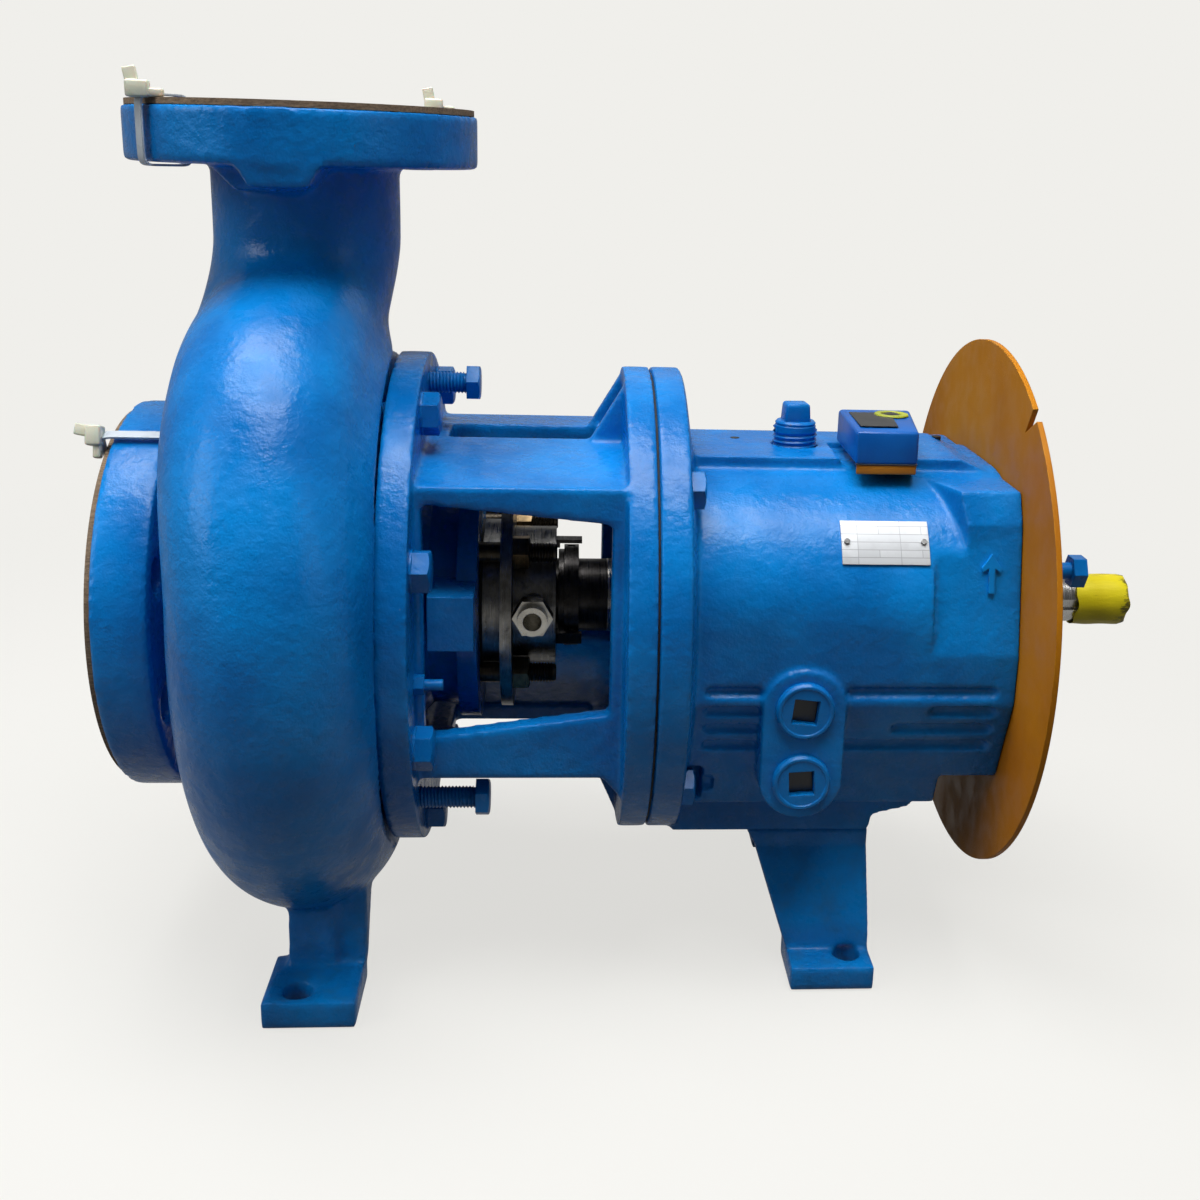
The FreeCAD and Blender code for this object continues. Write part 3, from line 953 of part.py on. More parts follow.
def make_bearing_frame():
    body = new_body("frame_gasket")
    ring(body, "adapter_rear_face_x", FRAME_FRONT, "adapter_bore_radius",
         "adapter_rear_radius - frame_gasket_inset")
    hole = round_hole(body, "adapter_rear_face_x", "frame_bolt_circle", "45",
                      "frame_bolt_radius + bolt_gap", "frame_gasket_thickness")
    around(body, [hole], "frame_bolt_count")
    body = new_body("bearing_frame")
    web_x = FRAME_FLANGE_BACK + " + frame_front_web"
    turn(body, (
        (FRAME_FRONT, "0"), (FRAME_FRONT, "frame_flange_radius"),
        (FRAME_FLANGE_BACK, "frame_flange_radius"),
        (web_x, "frame_top"), (web_x, "0")))
    # Barrel with a flat top pad, rounded shoulders and a sump under it
    barrel_start = FRAME_FLANGE_BACK + " - frame_overlap"
    barrel = new_sketch(body, "YZ_Plane", barrel_start)
    outline(barrel, (
        ("-(frame_half - frame_shoulder_radius)", "frame_top"),
        ("-frame_half", "frame_top - frame_shoulder_radius"),
        ("-frame_half", "-frame_knee"), ("-frame_low_half", "-frame_low"),
        ("frame_low_half", "-frame_low"), ("frame_half", "-frame_knee"),
        ("frame_half", "frame_top - frame_shoulder_radius"),
        ("frame_half - frame_shoulder_radius", "frame_top")),
        {0: "frame_shoulder_radius", 6: "frame_shoulder_radius"})
    pad(body, barrel, "frame_rear_x - (" + barrel_start + ")")
    sump = new_sketch(body, "XZ_Plane")
    outline(sump, (
        (barrel_start, "sump_root - frame_low"),
        (barrel_start, "-frame_bottom"), ("frame_sump_end_x", "-frame_bottom"),
        ("frame_sump_end_x + sump_step", "sump_step_rise - frame_bottom"),
        ("frame_sump_end_x + sump_slope", "sump_slope_rise - frame_bottom"),
        ("rear_low_x", "sump_root - frame_low")))
    pad(body, sump, "2*frame_bottom_half", middle=True)
    # Raised pad along the top, and a squarer corner on each side at the rear
    strip = new_sketch(body, "XZ_Plane")
    outline(strip, (
        (barrel_start, "frame_top - top_pad_root"),
        (barrel_start, "frame_top + top_pad_height"),
        ("top_pad_end_x", "frame_top + top_pad_height"),
        ("top_pad_end_x + top_pad_slope", "frame_top"),
        ("top_pad_end_x + top_pad_slope", "frame_top - top_pad_root")))
    pad(body, strip, "2*top_pad_half", middle=True)
    corner = new_sketch(body, "XY_Plane", "corner_low")
    outline(corner, (
        ("corner_front_x", "-top_pad_half"), ("corner_front_x + corner_slant", "-frame_half"),
        ("frame_rear_x", "-frame_half"), ("frame_rear_x", "-top_pad_half")))
    block = pad(body, corner, "corner_top - corner_low")
    trim = new_sketch(body, "YZ_Plane", "corner_front_x")
    outline(trim, (
        ("-corner_half", "corner_top"), ("-corner_side", "corner_knee"),
        ("-rear_half", "0"), ("-frame_half - corner_room", "0"),
        ("-frame_half - corner_room", "corner_top + corner_room"),
        ("-corner_half", "corner_top + corner_room")))
    cut = pocket(body, trim, "frame_rear_x - corner_front_x + 1", reverse=True)
    mirror(body, [block, cut], "XZ_Plane")
    # The rear end is shallower than the sump
    under = new_sketch(body, "XZ_Plane")
    box_outline(under, "rear_low_x", "-frame_bottom", "frame_rear_x + 1", "-rear_low")
    pocket(body, under, "2*frame_half + 2", middle=True)
    # Boss that carries the side plugs
    boss = new_sketch(body, "XZ_Plane", "frame_low_half - boss_root")
    outline(boss, (
        ("boss_x - boss_width/2", "-plug_upper_drop"), ("boss_x - boss_width/2", "-plug_lower_drop"),
        ("boss_x + boss_width/2", "-plug_lower_drop"), ("boss_x + boss_width/2", "-plug_upper_drop")),
        {1: "boss_width/2 + 0.01", 3: "boss_width/2 + 0.01"})
    pad(body, boss, BOSS_REACH + " - frame_low_half + boss_root")
    # Grooves beside the boss
    for number in range(4):
        for left, right in (("groove_left_x", "boss_x - boss_width/2 - groove_inset"),
                            (GROOVE_STARTS[number], "groove_right_x")):
            drop = "(groove_drop + %d*groove_pitch)" % number
            sketch = new_sketch(body, "XZ_Plane", "frame_half + 1")
            low = "-%s - groove_width" % drop
            outline(sketch, (
                (left, "-" + drop), (left, low), (right, low), (right, "-" + drop)),
                {0: "groove_width/2 + 0.01", 2: "groove_width/2 + 0.01"})
            lean = "(frame_half - frame_low_half)/(frame_low - frame_knee)"
            depth = "groove_depth + 1 + %s*max(0; %s + groove_width/2 - frame_knee)" % (
                lean, drop)
            pocket(body, sketch, depth)
    # Inside: bearing bore, oil chamber, sump and the bore for the bearing housing
    cavity_start = "inboard_bearing_x + inboard_bearing_width + bearing_shelf"
    turn(body, (
        (FRAME_FRONT + " - 1", "0"), (FRAME_FRONT + " - 1", "oil_seal_radius"),
        (FRAME_FRONT + " + oil_seal_width + 2", "oil_seal_radius"),
        (FRAME_FRONT + " + oil_seal_width + 2", "oil_seal_radius + bearing_shelf"),
        ("inboard_bearing_x", "oil_seal_radius + bearing_shelf"),
        ("inboard_bearing_x", "bearing_outer_radius"),
        (cavity_start, "bearing_outer_radius"), (cavity_start, "frame_cavity_radius"),
        ("housing_start_x - cavity_wall", "frame_cavity_radius"),
        ("housing_start_x - cavity_wall", "housing_radius + slip_gap"),
        ("frame_rear_x + 1", "housing_radius + slip_gap"), ("frame_rear_x + 1", "0")), cut=True)
    well = new_sketch(body, "XZ_Plane")
    box_outline(well, cavity_start, "-sump_floor", "frame_sump_end_x - sump_wall",
                "-frame_cavity_radius/2")
    pocket(body, well, "2*sump_half", middle=True)
    # Holes
    hole = round_hole(body, FRAME_FRONT, "frame_bolt_circle", "45",
                      "frame_bolt_radius + bolt_gap", "frame_front_flange_thickness + 20")
    around(body, [hole], "frame_bolt_count")
    spot = round_hole(body, FRAME_FLANGE_BACK, "frame_bolt_circle", "45",
                      "frame_bolt_spot_radius", "frame_bolt_spot_length")
    around(body, [spot], "frame_bolt_count")
    for angle in GUARD_BOLT_ANGLES:
        hole = round_hole(body, "frame_rear_x - rear_hole_depth", "guard_bolt_circle", angle,
                          "guard_bolt_radius + slip_gap", "rear_hole_depth")
        around(body, [hole], "2")
    hole = round_hole(body, "frame_rear_x - rear_hole_depth", "adjuster_circle",
                      "adjuster_angle", "adjuster_radius + slip_gap", "rear_hole_depth")
    around(body, [hole], "adjuster_count")
    for drop in ("plug_upper_drop", "plug_lower_drop"):
        sketch = new_sketch(body, "XZ_Plane", BOSS_REACH)
        circle(sketch, "boss_x", "-" + drop, "plug_thread_radius + slip_gap")
        pocket(body, sketch, "plug_depth + 1")
    sketch = new_sketch(body, "XY_Plane", PAD_TOP)
    circle(sketch, "fill_x", "0", "fill_thread_radius + slip_gap")
    pocket(body, sketch, "frame_top")
    seat = new_sketch(body, "XY_Plane", "monitor_seat")
    box_outline(seat, "monitor_left_x - 1", "-frame_half", "monitor_left_x + monitor_length + 1",
                "1 - monitor_far")
    pocket(body, seat, "20", reverse=True)
    sketch = new_sketch(body, "XZ_Plane", "-frame_half")
    circle(sketch, "boss_x", "-sight_drop", "sight_radius + slip_gap")
    pocket(body, sketch, "sight_depth", reverse=True)
    for side in ("", "-"):
        sketch = new_sketch(body, "XY_Plane", "-frame_bottom")
        circle(sketch, "rear_bolt_x", side + "rear_bolt_half_y", "rear_bolt_radius + slip_gap")
        pocket(body, sketch, "rear_hole_depth", reverse=True)
    sketch = new_sketch(body, "XY_Plane", "-frame_bottom")
    circle(sketch, "sump_plug_x", "0", "sump_plug_radius + slip_gap")
    pocket(body, sketch, "sump_plug_length + 1", reverse=True)


def make_frame_small_parts():
    body = new_body("side_plugs")
    for drop in ("plug_upper_drop", "plug_lower_drop"):
        rim = new_sketch(body, "XZ_Plane", BOSS_REACH)
        circle(rim, "boss_x", "-" + drop, "plug_rim_radius")
        pad(body, rim, "plug_rim_height")
        stem = new_sketch(body, "XZ_Plane", BOSS_REACH + " - plug_depth")
        circle(stem, "boss_x", "-" + drop, "plug_thread_radius")
        pad(body, stem, "plug_depth")
        socket = new_sketch(body, "XZ_Plane", BOSS_REACH + " + plug_rim_height")
        box_outline(socket, "boss_x - plug_square/2", "-%s - plug_square/2" % drop,
                    "boss_x + plug_square/2", "-%s + plug_square/2" % drop)
        pocket(body, socket, "plug_recess")
    body = new_body("oil_fill_plug")
    thread = new_sketch(body, "XY_Plane", PAD_TOP + " - fill_depth")
    circle(thread, "fill_x", "0", "fill_thread_radius")
    pad(body, thread, "fill_depth + fill_thread_height")
    square = new_sketch(body, "XY_Plane", PAD_TOP + " + fill_thread_height")
    box_outline(square, "fill_x - fill_square/2", "-fill_square/2", "fill_x + fill_square/2",
                "fill_square/2")
    pad(body, square, "fill_square_height")
    body = new_body("sight_glass")
    lens = new_sketch(body, "XZ_Plane", "-frame_half + sight_depth")
    circle(lens, "boss_x", "-sight_drop", "sight_glass_radius")
    pad(body, lens, "sight_depth - 1", reverse=True)
    body = new_body("sight_glass_bezel")
    bezel = new_sketch(body, "XZ_Plane", "-frame_half + sight_depth")
    circle(bezel, "boss_x", "-sight_drop", "sight_radius")
    circle(bezel, "boss_x", "-sight_drop", "sight_glass_radius + slip_gap")
    pad(body, bezel, "sight_depth + 2", reverse=True)
    body = new_body("sump_drain_plug")
    stem = new_sketch(body, "XY_Plane", "-frame_bottom")
    circle(stem, "sump_plug_x", "0", "sump_plug_radius")
    pad(body, stem, "sump_plug_length")
    head = new_sketch(body, "XY_Plane", "-frame_bottom")
    hexagon(head, "sump_plug_x", "0", "2.3*sump_plug_radius")
    pad(body, head, "sump_plug_radius", reverse=True)


def make_rear_foot():
    body = new_body("rear_foot")
    face = new_sketch(body, "XZ_Plane")
    top = "-frame_bottom"
    outline(face, (
        ("rear_top_left_x", top),
        ("rear_top_left_x + rear_top_taper", top + " - rear_top_thickness"),
        ("rear_pad_left_x", "rear_pad_thickness - shaft_height"),
        ("rear_pad_left_x", "-shaft_height"), ("rear_pad_right_x", "-shaft_height"),
        ("rear_pad_right_x", top)))
    pad(body, face, "2*rear_pad_outer", middle=True)
    sides = new_sketch(body, "YZ_Plane", "rear_top_left_x - 1")
    for side in ("", "-"):
        outline(sides, (
            (side + "rear_top_half", top + " + 1"),
            (side + "rear_top_half", top + " - rear_top_thickness"),
            (side + "(rear_pad_inner + rear_web_step)",
             "rear_pad_thickness + rear_web_rise - shaft_height"),
            (side + "(rear_pad_inner + rear_web_step + 2)", "rear_pad_thickness - shaft_height"),
            (side + "(rear_pad_outer + 1)", "rear_pad_thickness - shaft_height"),
            (side + "(rear_pad_outer + 1)", top + " + 1")))
    outline(sides, (
        ("-rear_arch_half", "-rear_arch_top"), ("-rear_pad_inner", "rear_pad_thickness - shaft_height"),
        ("-rear_pad_inner", "-shaft_height - 1"), ("rear_pad_inner", "-shaft_height - 1"),
        ("rear_pad_inner", "rear_pad_thickness - shaft_height"), ("rear_arch_half", "-rear_arch_top")))
    pocket(body, sides, "rear_pad_right_x - rear_top_left_x + 2", reverse=True)
    for side in ("", "-"):
        sketch = new_sketch(body, "XY_Plane", "-shaft_height - 1")
        circle(sketch, "rear_foot_x", side + "rear_bolt_half", "foot_hole_radius")
        pocket(body, sketch, "rear_pad_thickness + 2", reverse=True)
        sketch = new_sketch(body, "XY_Plane", "-frame_bottom")
        circle(sketch, "rear_bolt_x", side + "rear_bolt_half_y", "rear_bolt_radius + bolt_gap")
        pocket(body, sketch, "40")
    body = new_body("rear_foot_bolts")
    for side in ("", "-"):
        shank = new_sketch(body, "XY_Plane", "-rear_arch_top")
        circle(shank, "rear_bolt_x", side + "rear_bolt_half_y", "rear_bolt_radius")
        pad(body, shank, "rear_arch_top - frame_bottom + rear_hole_depth - 1")
        head = new_sketch(body, "XY_Plane", "-rear_arch_top")
        hexagon(head, "rear_bolt_x", side + "rear_bolt_half_y", "rear_bolt_head_width")
        pad(body, head, "rear_bolt_head_height", reverse=True)


def make_guard():
    body = new_body("guard_plate")
    ring(body, "frame_rear_x", "frame_rear_x + guard_thickness", "guard_bore_radius",
         "guard_radius")
    for angle in GUARD_BOLT_ANGLES:
        hole = round_hole(body, "frame_rear_x", "guard_bolt_circle", angle,
                          "guard_bolt_radius + bolt_gap", "guard_thickness")
        around(body, [hole], "2")
    notch = new_sketch(body, "YZ_Plane", "frame_rear_x")
    edge = "guard_radius"
    outline(notch, (
        polar(edge + " - guard_notch_depth", "guard_notch_angle + guard_notch_spread"),
        polar(edge + " + 4", "guard_notch_angle + guard_notch_spread"),
        polar(edge + " + 4", "guard_notch_angle - guard_notch_spread")))
    pocket(body, notch, "guard_thickness", reverse=True)
    body = new_body("guard_bolts")
    for angle in GUARD_BOLT_ANGLES:
        around(body, bolt(body, "guard_bolt_circle", angle, "guard_bolt_radius",
                          "frame_rear_x - rear_hole_depth + 1", "frame_rear_x + guard_thickness",
                          "guard_bolt_head_width", "guard_bolt_head_height"), "2")


def shoulder(radius, angle):
    """A place on a circle about the axis of the near shoulder, as (Y, Z) expressions."""
    return ("-(frame_half - frame_shoulder_radius) - (%s)*cos(%s)" % (radius, angle),
            "frame_top - frame_shoulder_radius + (%s)*sin(%s)" % (radius, angle))


def make_nameplate():
    body = new_body("nameplate")
    sketch = new_sketch(body, "YZ_Plane", "plate_x - plate_length/2")
    inner = "(frame_shoulder_radius + seat_gap)"
    outer = "(frame_shoulder_radius + seat_gap + plate_thickness)"
    outline(sketch, (
        shoulder(inner, "plate_high_angle"), shoulder(inner, "plate_low_angle"),
        shoulder(outer, "plate_low_angle"), shoulder(outer, "plate_high_angle")),
        {0: inner, 2: "-" + outer})
    pad(body, sketch, "plate_length")
    body = new_body("nameplate_rivets")
    angle = "(plate_low_angle + plate_high_angle)/2"
    for across in ("plate_x - plate_length/2 + rivet_inset",
                   "plate_x + plate_length/2 - rivet_inset"):
        rivet = body.newObject("PartDesign::AdditiveCylinder", "rivet")
        tie(rivet, "Radius", "rivet_radius")
        tie(rivet, "Height", "rivet_height")
        rivet.AttachmentSupport = [(origin_of(body, "YZ_Plane"), "")]
        rivet.MapMode = "FlatFace"
        y_place, z_place = shoulder(outer, angle)
        tie(rivet, "AttachmentOffset.Base.x", y_place)
        tie(rivet, "AttachmentOffset.Base.y", z_place)
        tie(rivet, "AttachmentOffset.Base.z", across)
        lean = FreeCAD.Rotation(FreeCAD.Vector(0, 0, 1), 90 - size(angle))
        rivet.AttachmentOffset = FreeCAD.Placement(
            rivet.AttachmentOffset.Base, lean.multiply(FreeCAD.Rotation(
                FreeCAD.Vector(1, 0, 0), -90)))


def make_monitor():
    body = new_body("monitor_base")
    base = new_sketch(body, "XY_Plane", "monitor_seat")
    box_outline(base, "monitor_left_x", "-monitor_near", "monitor_left_x + monitor_length",
                "-monitor_far")
    pad(body, base, "monitor_base_height")
    body = new_body("monitor_body")
    case = new_sketch(body, "XY_Plane", "monitor_seat + monitor_base_height")
    box_outline(case, "monitor_left_x - monitor_lip", "-monitor_near - monitor_lip",
                "monitor_left_x + monitor_length + monitor_lip", "monitor_lip - monitor_far")
    pad(body, case, "monitor_height")


def check_and_export():
    DOC.recompute()
    failed = [item.Name for item in DOC.Objects
              if "Invalid" in item.State or "Error" in item.State]
    if failed:
        raise RuntimeError("failed objects: " + ", ".join(failed))
    os.makedirs("parts", exist_ok=True)
    for body in PARTS:
        shape = body.Shape
        if shape.isNull() or not shape.isValid() or not shape.Solids:
            raise RuntimeError("bad shape: " + body.Label)
        shape.exportStep(os.path.join("parts", body.Label + ".step"))
        box = shape.BoundBox
        print("%-28s solids %2d  volume %10.0f  x %.1f..%.1f  y %.1f..%.1f  z %.1f..%.1f" % (
            body.Label, len(shape.Solids), shape.Volume, box.XMin, box.XMax, box.YMin,
            box.YMax, box.ZMin, box.ZMax))


make_casing()
make_nozzles()
make_casing_small_parts()
make_impeller()
make_cover()
make_adapter()
make_adapter_fasteners()
make_seal()
make_rotor()
make_bearings()
make_bearing_housing()
make_bearing_frame()
make_frame_small_parts()
make_rear_foot()
make_guard()
make_nameplate()
make_monitor()
check_and_export()
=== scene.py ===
"""An end-suction process pump: light, finishes, and the pieces that dress its solids."""
import math

import bmesh
import bpy
from mathutils import Matrix, Vector
from mathutils.bvhtree import BVHTree


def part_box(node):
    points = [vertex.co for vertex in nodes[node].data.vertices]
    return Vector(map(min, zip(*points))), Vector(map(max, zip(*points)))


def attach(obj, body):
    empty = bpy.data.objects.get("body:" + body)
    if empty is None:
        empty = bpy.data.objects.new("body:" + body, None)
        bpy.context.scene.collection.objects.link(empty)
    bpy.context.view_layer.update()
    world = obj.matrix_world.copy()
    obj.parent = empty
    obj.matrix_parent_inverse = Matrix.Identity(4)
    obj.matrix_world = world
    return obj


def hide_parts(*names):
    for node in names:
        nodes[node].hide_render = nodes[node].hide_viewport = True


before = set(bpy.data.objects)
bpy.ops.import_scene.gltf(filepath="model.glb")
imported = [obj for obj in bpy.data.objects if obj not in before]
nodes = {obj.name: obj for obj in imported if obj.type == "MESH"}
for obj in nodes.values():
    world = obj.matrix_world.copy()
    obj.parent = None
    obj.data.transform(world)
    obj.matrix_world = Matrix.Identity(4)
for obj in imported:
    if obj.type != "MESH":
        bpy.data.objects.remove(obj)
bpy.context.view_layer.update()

# Places and sizes of the pump, in metres
SHAFT = 0.20955
DISCHARGE_FACE = SHAFT + 0.2794
DISCHARGE_FLANGE = 0.0286
SUCTION_FACE = -0.1016
SUCTION_FLANGE = 0.0308
BOARD = 0.0032
PAD_TOP = SHAFT + 0.097
CASING_CIRCLE = 0.130
FRAME_CIRCLE = 0.124
GUARD_CIRCLE = 0.090
GLAND_CIRCLE = 0.0525
TAPE_START = 0.4655
TAPE_END = 0.4985
ALONG = Vector((1, 0, 0))
INWARD = Vector((0, 1, 0))
UP = Vector((0, 0, 1))

CAMERA_PLACE = (0.14506, -0.82670, 0.47240)
CAMERA_YAW = 0.079
CAMERA_PITCH = 0.275
CAMERA_ROLL = 0.032
BACKGROUND = (0.871, 0.863, 0.831)


# Camera, lamps, world and floor
def aim(yaw, pitch, roll):
    """How a camera is turned: to the right, down, and about its own axis."""
    ahead = Vector((math.sin(yaw) * math.cos(pitch), math.cos(yaw) * math.cos(pitch),
                    -math.sin(pitch)))
    level = Vector((math.cos(yaw), -math.sin(yaw), 0))
    upright = level.cross(ahead)
    right = level * math.cos(roll) + upright * math.sin(roll)
    above = upright * math.cos(roll) - level * math.sin(roll)
    return Matrix((right, above, -ahead)).transposed()


camera_data = bpy.data.cameras.new("camera")
camera_data.lens = 42.10
camera_data.sensor_width = 36
camera_data.shift_x = -0.0573
camera_data.shift_y = -0.0415
camera = bpy.data.objects.new("camera", camera_data)
camera.matrix_world = Matrix.Translation(CAMERA_PLACE) @ aim(
    CAMERA_YAW, CAMERA_PITCH, CAMERA_ROLL).to_4x4()
bpy.context.scene.collection.objects.link(camera)
bpy.context.scene.camera = camera
bpy.context.scene.view_settings.view_transform = "Standard"


def soft_lamp(name, place, target, width, height, power):
    """A white area lamp that faces its target."""
    data = bpy.data.lights.new(name, "AREA")
    data.shape = "RECTANGLE"
    data.size = width
    data.size_y = height
    data.energy = power
    lamp = bpy.data.objects.new(name, data)
    away = (Vector(place) - Vector(target)).to_track_quat("Z", "Y").to_matrix().to_4x4()
    lamp.matrix_world = Matrix.Translation(place) @ away
    bpy.context.scene.collection.objects.link(lamp)


soft_lamp("overhead", (0.0, -0.25, 1.9), (0.15, 0, 0.2), 1.7, 1.0, 50)
soft_lamp("left_window", (-1.9, -1.0, 1.4), (0.1, 0, 0.25), 0.9, 1.4, 15)
soft_lamp("right_window", (1.9, -1.1, 1.1), (0.2, 0, 0.25), 0.8, 1.2, 2)
soft_lamp("back_light", (0.4, 1.8, 1.5), (0.15, 0, 0.25), 2.4, 1.6, 3)


# Finishes
def add(finish, kind, inputs=None, **settings):
    """A node of a finish, with its settings and what goes into it."""
    node = finish.node_tree.nodes.new(kind)
    for name, value in settings.items():
        setattr(node, name, value)
    for name, value in (inputs or {}).items():
        if isinstance(value, bpy.types.NodeSocket):
            finish.node_tree.links.new(value, node.inputs[name])
        else:
            node.inputs[name].default_value = value
    return node


def new_finish(name, roughness=0.4, metallic=0.0, **more):
    """A plain finish, with further inputs of its shader given by name."""
    finish = bpy.data.materials.new(name)
    finish.use_nodes = True
    shader = finish.node_tree.nodes["Principled BSDF"]
    shader.inputs["Roughness"].default_value = roughness
    shader.inputs["Metallic"].default_value = metallic
    for socket, value in more.items():
        shader.inputs[socket.replace("_", " ")].default_value = value
    return finish


def feed(finish, socket, source):
    """Links what feeds an input of the finish's shader."""
    shader = finish.node_tree.nodes["Principled BSDF"]
    finish.node_tree.links.new(source, shader.inputs[socket])


def spot(finish, stretch=(1, 1, 1), turn=(0, 0, 0), shift=(0, 0, 0)):
    """The place on the object, in its own frame."""
    place = add(finish, "ShaderNodeTexCoord").outputs["Object"]
    return add(finish, "ShaderNodeMapping", {
        "Vector": place, "Scale": stretch, "Rotation": turn, "Location": shift}).outputs["Vector"]


def grain(finish, scale, detail=2.0, stretch=(1, 1, 1), rough=0.5):
    """Noise from 0 to 1, scale grains to the metre."""
    return add(finish, "ShaderNodeTexNoise", {
        "Vector": spot(finish, stretch), "Scale": scale, "Detail": detail,
        "Roughness": rough}).outputs["Fac"]


def span(finish, value, low, high, start=0.0, end=1.0):
    """A value between low and high, drawn softly to between start and end."""
    return add(finish, "ShaderNodeMapRange", {
        "Value": value, "From Min": low, "From Max": high, "To Min": start, "To Max": end},
        interpolation_type="SMOOTHSTEP").outputs["Result"]


def both(finish, first, second, operation="MULTIPLY"):
    """Two values, or a value and a number, taken together."""
    node = add(finish, "ShaderNodeMath", operation=operation)
    for slot, value in enumerate((first, second)):
        if isinstance(value, bpy.types.NodeSocket):
            finish.node_tree.links.new(value, node.inputs[slot])
        else:
            node.inputs[slot].default_value = value
    return node.outputs[0]


def mixed(finish, share, first, second):
    """A colour between two, by share."""
    node = add(finish, "ShaderNodeMix", data_type="RGBA")
    links = finish.node_tree.links
    for slot, value in ((0, share), (6, first), (7, second)):
        if isinstance(value, bpy.types.NodeSocket):
            links.new(value, node.inputs[slot])
        elif slot == 0:
            node.inputs[slot].default_value = value
        else:
            node.inputs[slot].default_value = (*value, 1)
    return node.outputs[2]


def relief(finish, height, depth, strength=1.0, under=None):
    """A bump of a depth in metres, on top of the one under it."""
    inputs = {"Height": height, "Distance": depth, "Strength": strength}
    if under is not None:
        inputs["Normal"] = under
    return add(finish, "ShaderNodeBump", inputs).outputs["Normal"]


def edge_normal(finish, radius):
    """The surface with its edges rounded to a radius."""
    return add(finish, "ShaderNodeBevel", {"Radius": radius}, samples=6).outputs["Normal"]


def edges(finish, rounded):
    """1 along the sharp edges, 0 on the faces."""
    low = 0.03
    high = 0.2
    face = add(finish, "ShaderNodeNewGeometry").outputs["Normal"]
    dot = add(finish, "ShaderNodeVectorMath", {0: rounded, 1: face}, operation="DOT_PRODUCT")
    return span(finish, dot.outputs["Value"], 1 - low, 1 - high)


def backdrop(tree, lit):
    """The plain pale colour that the camera, metal and glass see behind the pump."""
    path = tree.nodes.new("ShaderNodeLightPath")
    seen = path.outputs["Is Camera Ray"]
    for kind in ("Is Glossy Ray", "Is Transmission Ray"):
        either = tree.nodes.new("ShaderNodeMath")
        either.operation = "MAXIMUM"
        tree.links.new(seen, either.inputs[0])
        tree.links.new(path.outputs[kind], either.inputs[1])
        seen = either.outputs[0]
    plain = tree.nodes.new("ShaderNodeEmission" if lit else "ShaderNodeBackground")
    plain.inputs["Color"].default_value = (*BACKGROUND, 1)
    return seen, plain.outputs[0]


def make_world():
    """The backdrop all round, and a little light from it."""
    world = bpy.data.worlds.new("studio")
    bpy.context.scene.world = world
    world.use_nodes = True
    tree = world.node_tree
    seen, plain = backdrop(tree, False)
    light = tree.nodes["Background"]
    light.inputs["Color"].default_value = (0.93, 0.96, 1.0, 1)
    light.inputs["Strength"].default_value = 0.085
    # To paint and metal the backdrop is a dim room, darkest behind the camera
    darkest = 0.07
    palest = 0.3
    way = tree.nodes.new("ShaderNodeTexCoord")
    parts = tree.nodes.new("ShaderNodeSeparateXYZ")
    tree.links.new(way.outputs["Generated"], parts.inputs[0])
    dim = tree.nodes.new("ShaderNodeMapRange")
    dim.inputs["From Min"].default_value = -0.55
    dim.inputs["From Max"].default_value = 0.1
    dim.inputs["To Min"].default_value = darkest
    dim.inputs["To Max"].default_value = palest
    tree.links.new(parts.outputs["Y"], dim.inputs["Value"])
    either = tree.nodes.new("ShaderNodeMath")
    either.operation = "MAXIMUM"
    tree.links.new(dim.outputs["Result"], either.inputs[0])
    tree.links.new(tree.nodes["Light Path"].outputs["Is Camera Ray"], either.inputs[1])
    tree.links.new(either.outputs[0], plain.node.inputs["Strength"])
    mix = tree.nodes.new("ShaderNodeMixShader")
    tree.links.new(seen, mix.inputs[0])
    tree.links.new(light.outputs[0], mix.inputs[1])
    tree.links.new(plain, mix.inputs[2])
    tree.links.new(mix.outputs[0], tree.nodes["World Output"].inputs["Surface"])


def make_floor():
    """A plain pale floor, a little below the feet, that takes the pump's shadow."""
    half = 30
    gap = 0.0006
    shape = bmesh.new()
    bmesh.ops.create_grid(shape, x_segments=1, y_segments=1, size=half)
    mesh = bpy.data.meshes.new("floor")
    shape.to_mesh(mesh)
    shape.free()
    floor = bpy.data.objects.new("floor", mesh)
    floor.location.z = -gap
    bpy.context.scene.collection.objects.link(floor)
    paper = new_finish("paper", 0.95, Specular_IOR_Level=0.0)
    tree = paper.node_tree
    seen, plain = backdrop(tree, True)
    # Pale to the eye, but it throws hardly any light up at the pump
    unlit = (0.1, 0.1, 0.1)
    feed(paper, "Base Color", mixed(paper, seen, unlit, BACKGROUND))
    shader = tree.nodes["Principled BSDF"]
    # Near the pump part of the colour takes its shadow, farther off all of it is plain
    near = 0.3
    far = 1.3
    plain_near = 0.8
    away = add(paper, "ShaderNodeVectorMath", {0: spot(paper)}, operation="LENGTH")
    share = span(paper, away.outputs["Value"], near, far, plain_near, 1.0)
    # Paint and metal see it dimmer than the eye does
    dimmed = 0.35
    camera_ray = tree.nodes["Light Path"].outputs["Is Camera Ray"]
    glow = span(paper, camera_ray, 0, 1, dimmed, 1.0)
    tree.links.new(glow, plain.node.inputs["Strength"])
    mix = tree.nodes.new("ShaderNodeMixShader")
    tree.links.new(both(paper, seen, share), mix.inputs[0])
    tree.links.new(shader.outputs[0], mix.inputs[1])
    tree.links.new(plain, mix.inputs[2])
    tree.links.new(mix.outputs[0], tree.nodes["Material Output"].inputs["Surface"])
    mesh.materials.append(paper)


make_world()
make_floor()


